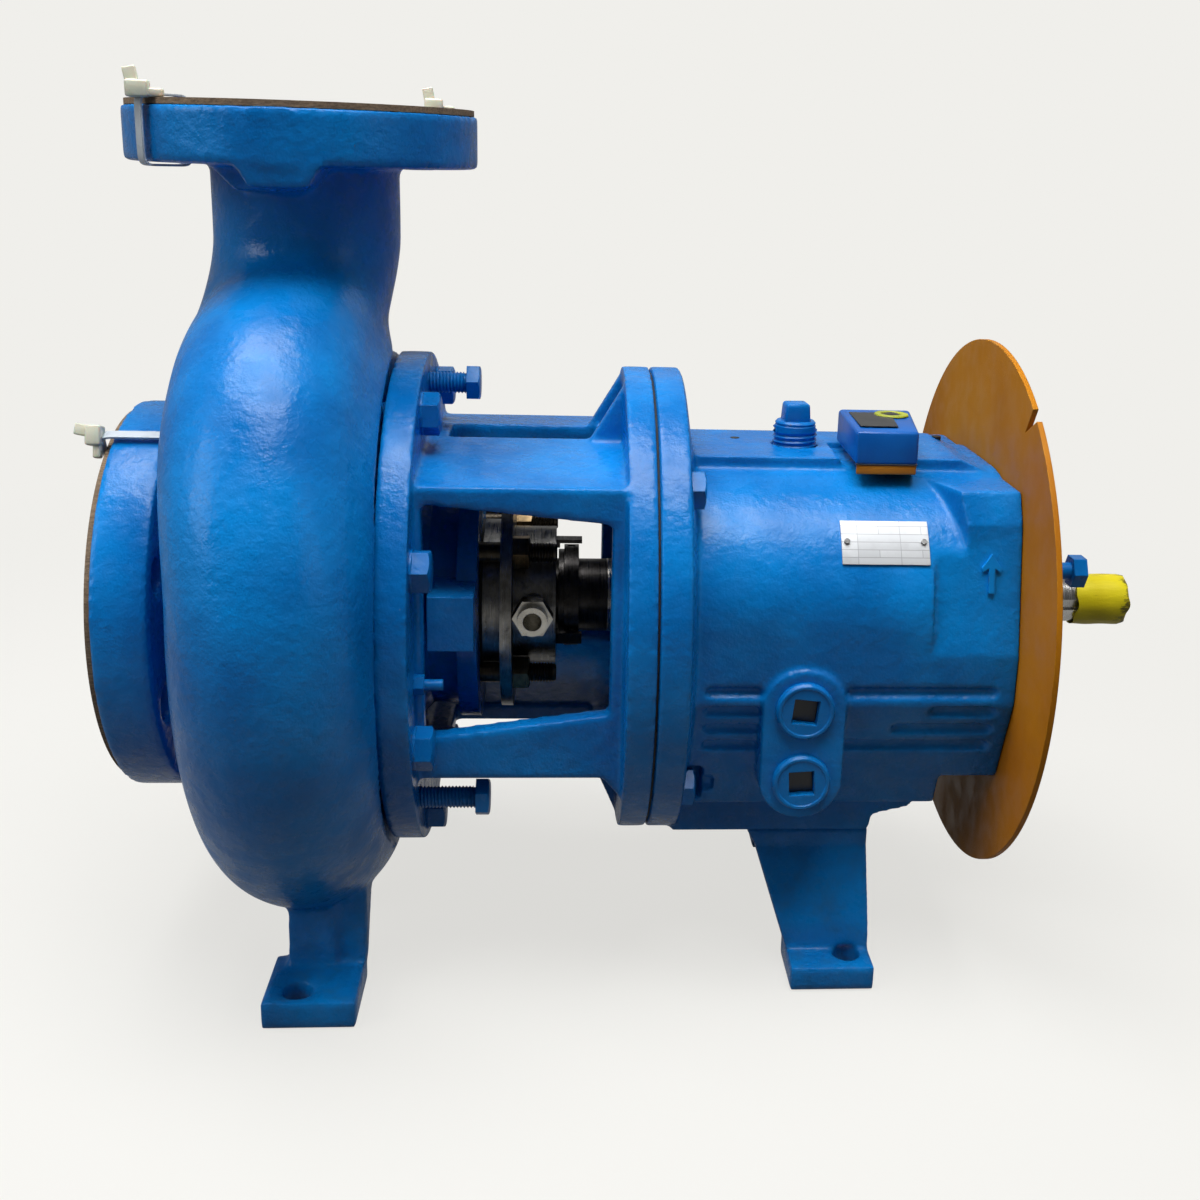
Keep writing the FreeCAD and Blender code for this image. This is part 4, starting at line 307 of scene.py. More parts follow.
def enamel(name, deep, light, dust, edge_radius, cast_depth, bare, wear):
    """Thick gloss enamel over cast iron: grain of the casting, runs, worn edges, dust."""
    dust_top = 0.16
    finish = new_finish(name, Coat_Weight=0.06, Coat_Roughness=0.1, IOR=1.5,
                        Specular_IOR_Level=0.22)
    rounded = edge_normal(finish, edge_radius)
    patches = grain(finish, 14, 3)
    streaks = grain(finish, 45, 4, (1, 1, 0.25))
    color = mixed(finish, span(finish, patches, 0.35, 0.7), deep, light)
    color = mixed(finish, span(finish, streaks, 0.52, 0.8, 0, 0.35), color, light)
    height = add(finish, "ShaderNodeSeparateXYZ", {"Vector": spot(finish)}).outputs["Z"]
    low = span(finish, height, dust_top, 0.0)
    dusty = both(finish, low, span(finish, grain(finish, 60, 5, rough=0.7), 0.42, 0.75, 0, 0.55))
    color = mixed(finish, dusty, color, dust)
    chips = both(finish, edges(finish, rounded),
                 span(finish, grain(finish, 130, 5, rough=0.65), 0.66 - wear, 0.70 - wear))
    specks = span(finish, grain(finish, 420, 2), 0.795, 0.81, 0, 0.6)
    worn = both(finish, chips, specks, "MAXIMUM")
    feed(finish, "Base Color", mixed(finish, worn, color, bare))
    feed(finish, "Roughness", both(finish, span(finish, grain(finish, 85, 4), 0.3, 0.75, 0.2, 0.42),
                                   both(finish, dusty, 0.35), "ADD"))
    surface = relief(finish, grain(finish, 32, 2), 0.0022, 0.6, rounded)
    surface = relief(finish, grain(finish, 210, 3), cast_depth, 0.75, surface)
    surface = relief(finish, grain(finish, 760, 2), cast_depth * 0.35, 0.6, surface)
    surface = relief(finish, worn, -0.0003, 0.8, surface)
    feed(finish, "Normal", surface)
    return finish


def turned_metal(name, dark, light, roughness, axis, stained=0.3):
    """Bare metal with fine lines of the tool across its axis, stains and bright edges."""
    stain = (0.05, 0.04, 0.03)
    lines_per_metre = 2600
    finish = new_finish(name, metallic=1.0)
    rounded = edge_normal(finish, 0.0004)
    stretch = tuple(1.0 if lane == axis else 0.02 for lane in "XYZ")
    lines = grain(finish, lines_per_metre, 3, stretch)
    clouds = grain(finish, 55, 5, rough=0.65)
    color = mixed(finish, span(finish, clouds, 0.3, 0.7), dark, light)
    color = mixed(finish, span(finish, lines, 0.4, 0.7, 0, 0.35), color, light)
    blot = span(finish, grain(finish, 120, 6, rough=0.7), 0.55, 0.75, 0, stained)
    color = mixed(finish, blot, color, stain)
    color = mixed(finish, both(finish, edges(finish, rounded), 0.5), color, light)
    feed(finish, "Base Color", color)
    feed(finish, "Roughness", both(
        finish, span(finish, lines, 0.3, 0.7, roughness * 0.75, roughness * 1.3),
        both(finish, blot, 0.5), "ADD"))
    surface = relief(finish, lines, 0.00006, 0.7, rounded)
    feed(finish, "Normal", relief(finish, clouds, 0.0002, 0.35, surface))
    return finish


def moulded(name, color, shade, roughness, depth=0.00012, scale=900, **more):
    """Plastic or rubber with a fine moulded grain, scuffs and softened edges."""
    finish = new_finish(name, roughness, **more)
    rounded = edge_normal(finish, 0.0006)
    clouds = grain(finish, 40, 4)
    scuffs = span(finish, grain(finish, 240, 6, (1, 0.3, 1), 0.7), 0.6, 0.78, 0, 0.5)
    tone = mixed(finish, span(finish, clouds, 0.3, 0.7), shade, color)
    feed(finish, "Base Color", mixed(finish, scuffs, tone, shade))
    feed(finish, "Roughness", span(finish, clouds, 0.3, 0.7, roughness * 0.8, roughness * 1.2))
    feed(finish, "Normal", relief(finish, grain(finish, scale, 2), depth, 0.6, rounded))
    return finish


def fibreboard(name):
    """Brown pressed board: flecks of fibre and darker damp patches."""
    finish = new_finish(name, 0.85)
    fibres = grain(finish, 900, 4, (0.25, 1, 1), 0.7)
    flecks = grain(finish, 1500, 2, (1, 0.3, 1))
    damp = grain(finish, 26, 4)
    tone = mixed(finish, span(finish, fibres, 0.3, 0.7), (0.13, 0.085, 0.05), (0.30, 0.21, 0.13))
    tone = mixed(finish, span(finish, flecks, 0.62, 0.75, 0, 0.6), tone, (0.42, 0.33, 0.23))
    tone = mixed(finish, span(finish, damp, 0.5, 0.75, 0, 0.5), tone, (0.08, 0.055, 0.035))
    feed(finish, "Base Color", tone)
    surface = relief(finish, fibres, 0.0004, 0.9)
    feed(finish, "Normal", relief(finish, grain(finish, 160, 3), 0.0007, 0.6, surface))
    return finish


def sheet_enamel(name, tone, deep, edge_tone):
    """Powder coat on sheet: fine pimples, rubbed edges, faint marks of handling."""
    finish = new_finish(name, 0.5, Specular_IOR_Level=0.15)
    rounded = edge_normal(finish, 0.0009)
    rubbed = both(finish, edges(finish, rounded), span(finish, grain(finish, 95, 5), 0.42, 0.6))
    marks = span(finish, grain(finish, 70, 6, (1, 0.25, 1), 0.72), 0.58, 0.75, 0, 0.3)
    color = mixed(finish, span(finish, grain(finish, 9, 3), 0.35, 0.7), deep, tone)
    color = mixed(finish, marks, color, deep)
    feed(finish, "Base Color", mixed(finish, rubbed, color, edge_tone))
    feed(finish, "Roughness", span(finish, grain(finish, 60, 4), 0.3, 0.7, 0.38, 0.6))
    surface = relief(finish, grain(finish, 900, 2), 0.00018, 0.7, rounded)
    feed(finish, "Normal", relief(finish, grain(finish, 22, 2), 0.0012, 0.4, surface))
    return finish


def wound_tape(name):
    """Yellow tape: fine weave, wrinkles, black smudges that thicken at the end."""
    finish = new_finish(name, 0.42, Specular_IOR_Level=0.3)
    smudges = grain(finish, 95, 6, (0.35, 1, 1), 0.75)
    along = add(finish, "ShaderNodeSeparateXYZ", {"Vector": spot(finish)}).outputs["X"]
    end_dirt = span(finish, along, TAPE_END - 0.0095, TAPE_END, 0, 0.16)
    frayed = both(finish, end_dirt, smudges, "ADD")
    dirt = span(finish, frayed, 0.60, 0.70, 0, 0.85)
    tone = mixed(finish, span(finish, grain(finish, 40, 3), 0.3, 0.7), (0.64, 0.52, 0.006),
                 (0.76, 0.64, 0.012))
    feed(finish, "Base Color", mixed(finish, dirt, tone, (0.035, 0.028, 0.01)))
    surface = relief(finish, grain(finish, 210, 3, (0.3, 1, 1)), 0.0006, 0.8)
    feed(finish, "Normal", relief(finish, grain(finish, 1100, 2), 0.00012, 0.6, surface))
    return finish


def printed_plate(name):
    """A bare aluminium plate with faint empty boxes in rows, and a dull sheen."""
    finish = new_finish(name, 0.45, 0.3)
    flat = spot(finish, turn=(math.radians(90), 0, 0), shift=(0.0045, 0, 0))
    boxes = add(finish, "ShaderNodeTexBrick", {
        "Vector": flat,
        "Color1": (0.60, 0.62, 0.64, 1), "Color2": (0.52, 0.54, 0.56, 1),
        "Mortar": (0.30, 0.31, 0.33, 1), "Scale": 1.0, "Mortar Size": 0.00018,
        "Mortar Smooth": 0.3, "Brick Width": 0.024, "Row Height": 0.0037},
        offset=0.0, squash=0.5, squash_frequency=3)
    clouds = grain(finish, 160, 4)
    tone = mixed(finish, span(finish, clouds, 0.45, 0.75, 0, 0.35), boxes.outputs["Color"],
                 (0.42, 0.43, 0.45))
    feed(finish, "Base Color", tone)
    rounded = edge_normal(finish, 0.0004)
    feed(finish, "Normal", relief(finish, clouds, 0.0002, 0.4, rounded))
    return finish


BLUE_DEEP = (0.001, 0.138, 0.45)
BLUE_LIGHT = (0.002, 0.22, 0.635)
DUST = (0.02, 0.12, 0.29)
BARE_IRON = (0.10, 0.095, 0.09)

cast_blue = enamel("cast_blue", BLUE_DEEP, BLUE_LIGHT, DUST, 0.0012, 0.0007, BARE_IRON, 0.0)
smooth_blue = enamel("smooth_blue", BLUE_DEEP, BLUE_LIGHT, DUST, 0.0008, 0.00025, BARE_IRON, 0.05)
orange_sheet = sheet_enamel("orange_sheet", (0.50, 0.185, 0.006), (0.40, 0.135, 0.004),
                            (0.72, 0.33, 0.03))
orange_plastic = moulded("orange_plastic", (0.55, 0.20, 0.006), (0.4, 0.13, 0.004), 0.45)
board_brown = fibreboard("board_brown")
steel_ground = turned_metal("steel_ground", (0.36, 0.35, 0.33), (0.62, 0.61, 0.59), 0.24, "X")
steel_gland = turned_metal("steel_gland", (0.10, 0.097, 0.09), (0.36, 0.35, 0.33), 0.34, "X",
                           stained=0.6)
steel_fitting = turned_metal("steel_fitting", (0.42, 0.4, 0.36), (0.68, 0.66, 0.6), 0.26, "Y")
# Black steel, and the painted shade of the two holes in the top pad.
steel_black_and_hole_shade = turned_metal("steel_black_and_hole_shade", (0.016, 0.015, 0.015), (0.06, 0.057, 0.055), 0.34, "X",
                           stained=0.2)
steel_nut = turned_metal("steel_nut", (0.07, 0.05, 0.028), (0.30, 0.21, 0.11), 0.36, "X",
                         stained=0.45)
stud_steel = turned_metal("stud_steel", (0.03, 0.026, 0.02), (0.12, 0.10, 0.075), 0.34, "X",
                          stained=0.3)
blue_plastic = moulded("blue_plastic", (0.0015, 0.11, 0.43), (0.001, 0.085, 0.36), 0.36,
                       Specular_IOR_Level=0.3)
bearing_bright = turned_metal("bearing_bright", (0.55, 0.55, 0.55), (0.75, 0.75, 0.75), 0.14,
                              "X", stained=0.05)
cage_brass = turned_metal("cage_brass", (0.45, 0.3, 0.1), (0.66, 0.47, 0.18), 0.28, "X")
seal_bronze = turned_metal("seal_bronze", (0.3, 0.18, 0.07), (0.5, 0.32, 0.13), 0.32, "X")
impeller_cast = enamel("impeller_cast", (0.22, 0.215, 0.21), (0.34, 0.335, 0.33),
                       (0.2, 0.18, 0.15), 0.001, 0.0006, (0.5, 0.5, 0.5), 0.05)
gasket_black = moulded("gasket_black", (0.035, 0.034, 0.033), (0.015, 0.015, 0.015), 0.8, 0.0002)
rubber_black = moulded("rubber_black", (0.03, 0.03, 0.03), (0.012, 0.012, 0.012), 0.65)
ceramic_dark = moulded("ceramic_dark", (0.09, 0.09, 0.1), (0.05, 0.05, 0.055), 0.25)
plate_silver = printed_plate("plate_silver")
rivet_dark = turned_metal("rivet_dark", (0.06, 0.06, 0.06), (0.3, 0.3, 0.3), 0.35, "Y")
bezel_steel = turned_metal("bezel_steel", (0.3, 0.3, 0.3), (0.55, 0.55, 0.54), 0.3, "Y")
lens_clear = moulded("lens_clear", (0.8, 0.86, 0.88), (0.7, 0.78, 0.8), 0.06, 0.00002, 300,
                     Transmission_Weight=0.85, IOR=1.5)
tie_cream = moulded("tie_cream", (0.80, 0.80, 0.66), (0.68, 0.68, 0.54), 0.35,
                    Subsurface_Weight=0.2, Subsurface_Scale=0.003)
tie_white = moulded("tie_white", (0.56, 0.62, 0.68), (0.46, 0.51, 0.56), 0.32)
tape_yellow = wound_tape("tape_yellow")
# Black of the monitor's label, seam and lamp, and the painted shade on the floors of the plug
# sockets.
label_black_and_painted_shade = moulded("label_black_and_painted_shade", (0.02, 0.021, 0.023), (0.01, 0.011, 0.012), 0.35)
ring_green = moulded("ring_green", (0.42, 0.46, 0.03), (0.3, 0.34, 0.02), 0.35)

NODE_FINISH = {
    cast_blue: ("casing", "stuffing_box_cover", "frame_adapter", "bearing_frame", "rear_foot",
                "bearing_housing"),
    smooth_blue: ("casing_drain_plug", "casing_bolts", "jack_screws", "cover_screws",
                  "frame_bolts", "side_plugs", "sump_drain_plug", "rear_foot_bolts",
                  "adjusting_bolts", "adjuster_jam_nuts", "guard_bolts", "monitor_body",
                  "oil_fill_plug"),
    orange_sheet: ("guard_plate",), orange_plastic: ("monitor_base",),
    board_brown: ("suction_board", "discharge_board"),
    steel_ground: ("shaft",), steel_gland: ("gland",), steel_fitting: ("flush_port_fitting",),
    steel_black_and_hole_shade: ("drive_collar", "collar_setscrews", "setting_clips", "seal_head",
                  "bearing_lockwasher", "bearing_locknut", "shaft_sleeve"),
    steel_nut: ("gland_nuts",), stud_steel: ("gland_studs",),
    bearing_bright: ("inboard_bearing_outer_ring", "inboard_bearing_inner_ring",
                     "inboard_bearing_balls", "outboard_bearing_outer_ring",
                     "outboard_bearing_inner_ring", "outboard_bearing_balls"),
    cage_brass: ("inboard_bearing_cage", "outboard_bearing_cage"),
    seal_bronze: ("inboard_oil_seal", "outboard_oil_seal", "inboard_slinger"),
    impeller_cast: ("impeller",),
    gasket_black: ("casing_gasket", "gland_gasket", "frame_gasket"),
    rubber_black: ("housing_o_ring",), ceramic_dark: ("seal_seat",),
    plate_silver: ("nameplate",), rivet_dark: ("nameplate_rivets",),
    bezel_steel: ("sight_glass_bezel",), lens_clear: ("sight_glass",),
}


# How pieces are made
def soft_shading():
    """A modifier's node tree that shades smoothly except across sharp edges."""
    sharp = math.radians(28)
    tree = bpy.data.node_groups.new("soft_shading", "GeometryNodeTree")
    tree.interface.new_socket("Geometry", in_out="INPUT", socket_type="NodeSocketGeometry")
    tree.interface.new_socket("Geometry", in_out="OUTPUT", socket_type="NodeSocketGeometry")
    start = tree.nodes.new("NodeGroupInput")
    end = tree.nodes.new("NodeGroupOutput")
    angle = tree.nodes.new("GeometryNodeInputMeshEdgeAngle")
    gentle = tree.nodes.new("FunctionNodeCompare")
    gentle.operation = "LESS_EQUAL"
    gentle.inputs[1].default_value = sharp
    faces = tree.nodes.new("GeometryNodeSetShadeSmooth")
    creases = tree.nodes.new("GeometryNodeSetShadeSmooth")
    creases.domain = "EDGE"
    tree.links.new(start.outputs[0], faces.inputs["Geometry"])
    tree.links.new(faces.outputs[0], creases.inputs["Geometry"])
    tree.links.new(angle.outputs["Unsigned Angle"], gentle.inputs[0])
    tree.links.new(gentle.outputs[0], creases.inputs["Shade Smooth"])
    tree.links.new(creases.outputs[0], end.inputs[0])
    return tree


SOFT = soft_shading()


def shade_softly(piece):
    """Closes the seams between a solid's faces and shades it softly."""
    weld = piece.modifiers.new("weld", "WELD")
    weld.merge_threshold = 0.00001
    piece.modifiers.new("shading", "NODES").node_group = SOFT


for finish, names in NODE_FINISH.items():
    for name in names:
        mesh = nodes[name].data
        mesh.materials.clear()
        mesh.materials.append(finish)
        shade_softly(nodes[name])


def new_piece(name, shape, finish, body="pump", replaced=()):
    """A finished piece from a bmesh, riding on a body."""
    bmesh.ops.remove_doubles(shape, verts=shape.verts, dist=0.000005)
    bmesh.ops.recalc_face_normals(shape, faces=shape.faces)
    mesh = bpy.data.meshes.new(name)
    shape.to_mesh(mesh)
    shape.free()
    mesh.materials.append(finish)
    piece = bpy.data.objects.new(name, mesh)
    bpy.context.scene.collection.objects.link(piece)
    piece.modifiers.new("shading", "NODES").node_group = SOFT
    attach(piece, body)
    if replaced:
        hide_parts(*replaced)
    return piece


def turned_to(axis):
    """The turn that takes +Z to an axis."""
    return axis.to_track_quat("Z", "Y").to_matrix().to_4x4()


def set_down(shape, verts, foot, axis, turn=0.0):
    """Moves what was drawn up the Z axis to its foot and axis."""
    place = Matrix.Translation(foot) @ turned_to(axis) @ Matrix.Rotation(turn, 4, "Z")
    bmesh.ops.transform(shape, matrix=place, verts=verts)


def spun(shape, foot, axis, profile, segments=48, lead=0.0):
    """A turned form: profile has (height, radius) up the axis; a lead makes it a helix."""
    before = set(shape.verts)
    verts = [shape.verts.new((radius, 0, height)) for height, radius in profile]
    lines = [shape.edges.new(pair) for pair in zip(verts, verts[1:])]
    bmesh.ops.spin(shape, geom=verts + lines, cent=(0, 0, 0), axis=(0, 0, 1),
                   dvec=(0, 0, lead / segments), angle=math.tau, steps=segments,
                   use_merge=lead == 0, use_duplicate=False)
    set_down(shape, [vert for vert in shape.verts if vert not in before], foot, axis)


def rod(shape, start, end, radius, chamfer=0.0, segments=32):
    """A solid round bar with chamfered ends."""
    length = (end - start).length
    profile = [(0, 0), (0, radius - chamfer), (chamfer, radius), (length - chamfer, radius),
               (length, radius - chamfer), (length, 0)]
    if not chamfer:
        profile = [(0, 0), (0, radius), (length, radius), (length, 0)]
    spun(shape, start, (end - start).normalized(), profile, segments)


def thread(shape, start, end, radius, pitch, depth):
    """A screw thread round a core, from start to end."""
    axis = (end - start).normalized()
    turns = int(((end - start).length - pitch) / pitch)
    profile = []
    for number in range(turns + 1):
        profile.append((number * pitch, radius))
        profile.append(((number + 0.5) * pitch, radius - depth))
    spun(shape, start, axis, profile[:-1], 28, pitch)
    rod(shape, start, end, radius - depth * 0.9, depth)


def hex_head(shape, foot, axis, width, height, turn=0.0, washer=0.0):
    """A hexagon head, its corners rounded off on top, on a washer face."""
    corner = width / math.sqrt(3)
    made = bmesh.ops.create_cone(shape, cap_ends=True, segments=24, radius1=corner,
                                 radius2=corner, depth=height)
    verts = set(made["verts"])
    top = [face for face in shape.faces if len(face.verts) == 24 and verts.issuperset(face.verts)
           and face.calc_center_median().z > 0]
    for vert in made["verts"]:
        angle = math.atan2(vert.co.y, vert.co.x)
        reach = width / 2 / math.cos((angle + math.pi / 6) % (math.pi / 3) - math.pi / 6)
        flat = vert.co.to_2d().normalized() * reach
        drop = (reach - width / 2) * 0.6 + width * 0.02 if vert.co.z > 0 else 0
        vert.co = (flat.x, flat.y, vert.co.z + height / 2 - drop)
    rim = bmesh.ops.inset_region(shape, faces=top, thickness=width * 0.07)
    for vert in top[0].verts:
        flat = vert.co.to_2d().normalized() * width * 0.44
        vert.co = (flat.x, flat.y, height)
    verts.update(top[0].verts)
    for face in rim["faces"]:
        verts.update(face.verts)
    set_down(shape, list(verts), foot, axis, turn)
    if washer:
        rod(shape, foot - axis * 0.0002, foot + axis * washer, width * 0.56, 0.0002)


def soft_block(shape, low, high, bevel, segments=3):
    """A box with rounded edges between two corners."""
    made = bmesh.ops.create_cube(shape, size=1.0)
    verts = made["verts"]
    sides = Vector(high) - Vector(low)
    bmesh.ops.scale(shape, vec=sides, verts=verts)
    bmesh.ops.translate(shape, vec=(Vector(high) + Vector(low)) / 2, verts=verts)
    lines = list({edge for vert in verts for edge in vert.link_edges})
    cut = bmesh.ops.bevel(shape, geom=lines, offset=bevel, affect="EDGES", segments=segments,
                          profile=0.5, material=-1)
    return [vert for vert in set(verts) | set(cut["verts"]) if vert.is_valid]


def about_shaft(along, radius, angle):
    """A place on a circle about the shaft; the angle counts from the near side, up."""
    angle = math.radians(angle)
    return Vector((along, -radius * math.cos(angle), SHAFT + radius * math.sin(angle)))


# Castings
def ease(value, low, high):
    """0 below low, 1 above high, with a soft passage between."""
    share = min(1.0, max(0.0, (value - low) / (high - low)))
    return share * share * (3 - 2 * share)


def lap_seams(shape):
    """Lets the two nozzles reach a little into the casing that they are cast with."""
    neck_foot = SHAFT + 0.212
    neck_radius = 0.053
    seat_radius = 0.066
    seat_start = -0.0421
    for vert in shape.verts:
        away = math.hypot(vert.co.y, vert.co.z - SHAFT)
        in_neck = math.hypot(vert.co.x, vert.co.y) < neck_radius
        if in_neck and abs(vert.co.z - neck_foot) < 0.0001:
            vert.co.z -= 0.002
        if vert.co.x > seat_start and abs(away - seat_radius) < 0.0001:
            vert.co.y *= 1.02
            vert.co.z += (vert.co.z - SHAFT) * 0.02


def lean_neck(shape):
    """Draws the bend under the discharge neck a little toward the suction side."""
    most = 0.008
    for vert in shape.verts:
        away = math.hypot(vert.co.y, vert.co.z - SHAFT)
        bend = ease(vert.co.z, 0.24, 0.34) * (1 - ease(vert.co.z, 0.36, 0.425))
        vert.co.x -= most * bend * ease(away, 0.142, 0.172)


def flange_lugs(shape):
    """Carries the lugs under the discharge flange out to its rim, near side and far side."""
    root = 0.055
    reach = 0.0935
    low = DISCHARGE_FACE - DISCHARGE_FLANGE - 0.0107
    high = DISCHARGE_FACE - DISCHARGE_FLANGE + 0.002
    ends = ((-0.0205, high), (0.0238, high), (0.0165, low), (-0.0125, low))
    for side in (-1, 1):
        inner = [shape.verts.new((along, side * root, height)) for along, height in ends]
        outer = [shape.verts.new((along, side * reach, height)) for along, height in ends]
        shape.faces.new(inner)
        shape.faces.new(outer)
        for one in range(len(ends)):
            shape.faces.new((inner[one - 1], inner[one], outer[one], outer[one - 1]))


def fade_corners(shape):
    """Lets the slanted rear corners of the bearing frame run out flush with its sides."""
    corner_start = 0.3499
    corner_foot = 0.1025
    frame_side = 0.1068
    for vert in shape.verts:
        at_foot = abs(vert.co.z - SHAFT) < 0.0004 and vert.co.x > corner_start
        if at_foot and abs(abs(vert.co.y) - corner_foot) < 0.0015:
            vert.co.y = math.copysign(frame_side, vert.co.y)


def casting(casts, voxel, rounds, keep):
    """The solids of one casting with the soft edges and filled corners of painted iron."""
    shape = bmesh.new()
    for node in casts[1:]:
        shape.from_mesh(nodes[node].data)
    lap_seams(shape)
    shape.from_mesh(nodes[casts[0]].data)
    if casts[0] == "casing":
        long_edges = [edge for edge in shape.edges if edge.calc_length() > 0.012]
        bmesh.ops.subdivide_edges(shape, edges=long_edges, cuts=2)
        lean_neck(shape)
        flange_lugs(shape)
    if casts[0] == "bearing_frame":
        fade_corners(shape)
    piece = new_piece(casts[0] + "_casting", shape, cast_blue, replaced=casts)
    piece.modifiers.clear()
    remesh = piece.modifiers.new("cast_skin", "REMESH")
    remesh.mode = "VOXEL"
    remesh.voxel_size = voxel
    fillets = piece.modifiers.new("fillets", "SMOOTH")
    fillets.factor = 0.5
    fillets.iterations = rounds
    if keep < 1:
        fewer = piece.modifiers.new("fewer", "DECIMATE")
        fewer.ratio = keep
    piece.modifiers.new("shading", "NODES").node_group = SOFT


casting(("casing", "suction_nozzle", "discharge_nozzle"), 0.0022, 5, 0.5)
casting(("frame_adapter",), 0.0017, 4, 0.7)
casting(("bearing_frame",), 0.0015, 3, 0.42)
casting(("rear_foot",), 0.0018, 5, 1.0)


# Fasteners
EIGHT = [22.5 + 45 * count for count in range(8)]
FOUR = [45 + 90 * count for count in range(4)]


def screw_set(node, circle, angles, start, seats, radius, width, height, pitch=0.0, washer=0.0):
    """Hexagon bolts along the shaft, each head turned its own way."""
    shape = bmesh.new()
    for count, (angle, seat) in enumerate(zip(angles, seats)):
        foot = about_shaft(start, circle, angle)
        head = about_shaft(seat, circle, angle)
        if pitch:
            thread(shape, foot, head + ALONG * 0.0005, radius, pitch, pitch * 0.5)
        else:
            rod(shape, foot, head + ALONG * 0.0005, radius)
        hex_head(shape, head, ALONG, width, height, 0.35 + 1.7 * count, washer)
    new_piece(node + "_made", shape, smooth_blue, replaced=(node,))


HALF_INCH = 0.0127
screw_set("casing_bolts", CASING_CIRCLE, EIGHT, 0.0355, [0.0666] * 8, HALF_INCH / 2, 0.021,
          0.011, washer=0.0014)
screw_set("jack_screws", CASING_CIRCLE, (90, -45, -135), 0.0492, (0.0886, 0.098, 0.098),
          HALF_INCH / 2, 0.019, 0.008, pitch=0.00195)
screw_set("frame_bolts", FRAME_CIRCLE, FOUR, 0.180, [0.214] * 4, HALF_INCH / 2, 0.020, 0.0085)
screw_set("guard_bolts", GUARD_CIRCLE, (20, 200, -20, 160), 0.389, [0.403] * 4, 0.005, 0.016,
          0.0065)


def make_gland_studs():
    """Threaded studs, and the nuts that press the gland."""
    radius = 0.006
    pitch = 0.00175
    depth = 0.0009
    shape = bmesh.new()
    for angle in FOUR:
        foot, gland, end = (about_shaft(along, GLAND_CIRCLE, angle)
                            for along in (0.084, 0.1165, 0.1425))
        rod(shape, foot, gland, radius)
        thread(shape, gland, end, radius, pitch, depth)
    new_piece("gland_studs_made", shape, stud_steel, replaced=("gland_studs",))
    shape = bmesh.new()
    for count, angle in enumerate(FOUR):
        foot = about_shaft(0.1168, GLAND_CIRCLE, angle)
        hex_head(shape, foot, ALONG, 0.018, 0.010, 0.4 + count)
    new_piece("gland_nuts_made", shape, steel_nut, replaced=("gland_nuts",))


make_gland_studs()


def make_fill_plug():
    """A square-headed plug standing proud on its thread."""
    shape = bmesh.new()
    foot = Vector((0.2845, 0, PAD_TOP - 0.010))
    top = foot + UP * 0.0225
    thread(shape, foot, top, 0.0134, 0.0029, 0.0012)
    spun(shape, top - UP * 0.0007, UP, (
        (0, 0.0118), (0.0012, 0.0122), (0.0024, 0.0112), (0.0026, 0)))
    half = 0.0078
    taper = 0.93
    square = soft_block(shape, (-half, -half, 0), (half, half, 0.0125), 0.0022)
    for vert in square:
        if vert.co.z > 0.006:
            vert.co.x *= taper
            vert.co.y *= taper
    set_down(shape, square, top, UP, 0.08)
    new_piece("oil_fill_plug_made", shape, smooth_blue,
              replaced=("oil_fill_plug",))


make_fill_plug()


# Shaft end
def make_tape():
    """Tape wound over the keyed end, its last turn lapped and its edge frayed."""
    radius_wound = 0.0157
    thickness = 0.00035
    steps = 72
    rows = 12
    shape = bmesh.new()
    rings = []
    for row in range(rows + 1):
        ring = []
        for count in range(steps):
            angle = math.tau * count / steps
            wave = math.sin(angle * 3 + row) * 0.00012 + math.sin(angle * 5 + row * 0.7) * 0.0001
            lap = thickness if count > steps * 0.55 else 0.0
            fray = math.sin(angle * 7) * 0.0006 + math.sin(angle * 4 + 1) * 0.0005
            along = TAPE_START + (TAPE_END - TAPE_START) * row / rows
            if row in (0, rows):
                along += fray
            radius = radius_wound + wave + lap - (0.0008 if row == rows else 0)
            ring.append(shape.verts.new((
                along, radius * math.sin(angle), SHAFT + radius * math.cos(angle))))
        rings.append(ring)
    for low, high in zip(rings, rings[1:]):
        for count in range(steps):
            following = (count + 1) % steps
            shape.faces.new((low[count], low[following], high[following], high[count]))
    shape.faces.new(rings[-1])
    new_piece("shaft_end_tape", shape, tape_yellow, "rotor")


# Ties that hold the boards
def band(shape, centre, long_way, tall_way, half_long, half_tall):
    """A closed strap round a flange rim, its corners rounded."""
    width = 0.0058
    thickness = 0.0011
    squareness = 0.27
    steps = 64
    across = long_way.cross(tall_way).normalized()
    loops = []
    for grow, side in ((0, -1), (thickness, -1), (thickness, 1), (0, 1)):
        loop = []
        for count in range(steps):
            angle = math.tau * count / steps
            reach = []
            for part, half in ((math.cos(angle), half_long), (math.sin(angle), half_tall)):
                reach.append(math.copysign(abs(part) ** squareness, part) * (half + grow))
            place = centre + long_way * reach[0] + tall_way * reach[1]
            loop.append(shape.verts.new(place + across * side * width / 2))
        loops.append(loop)
    for first, second in zip(loops, loops[1:] + loops[:1]):
        for count in range(steps):
            following = (count + 1) % steps
            shape.faces.new((first[count], first[following], second[following], second[count]))


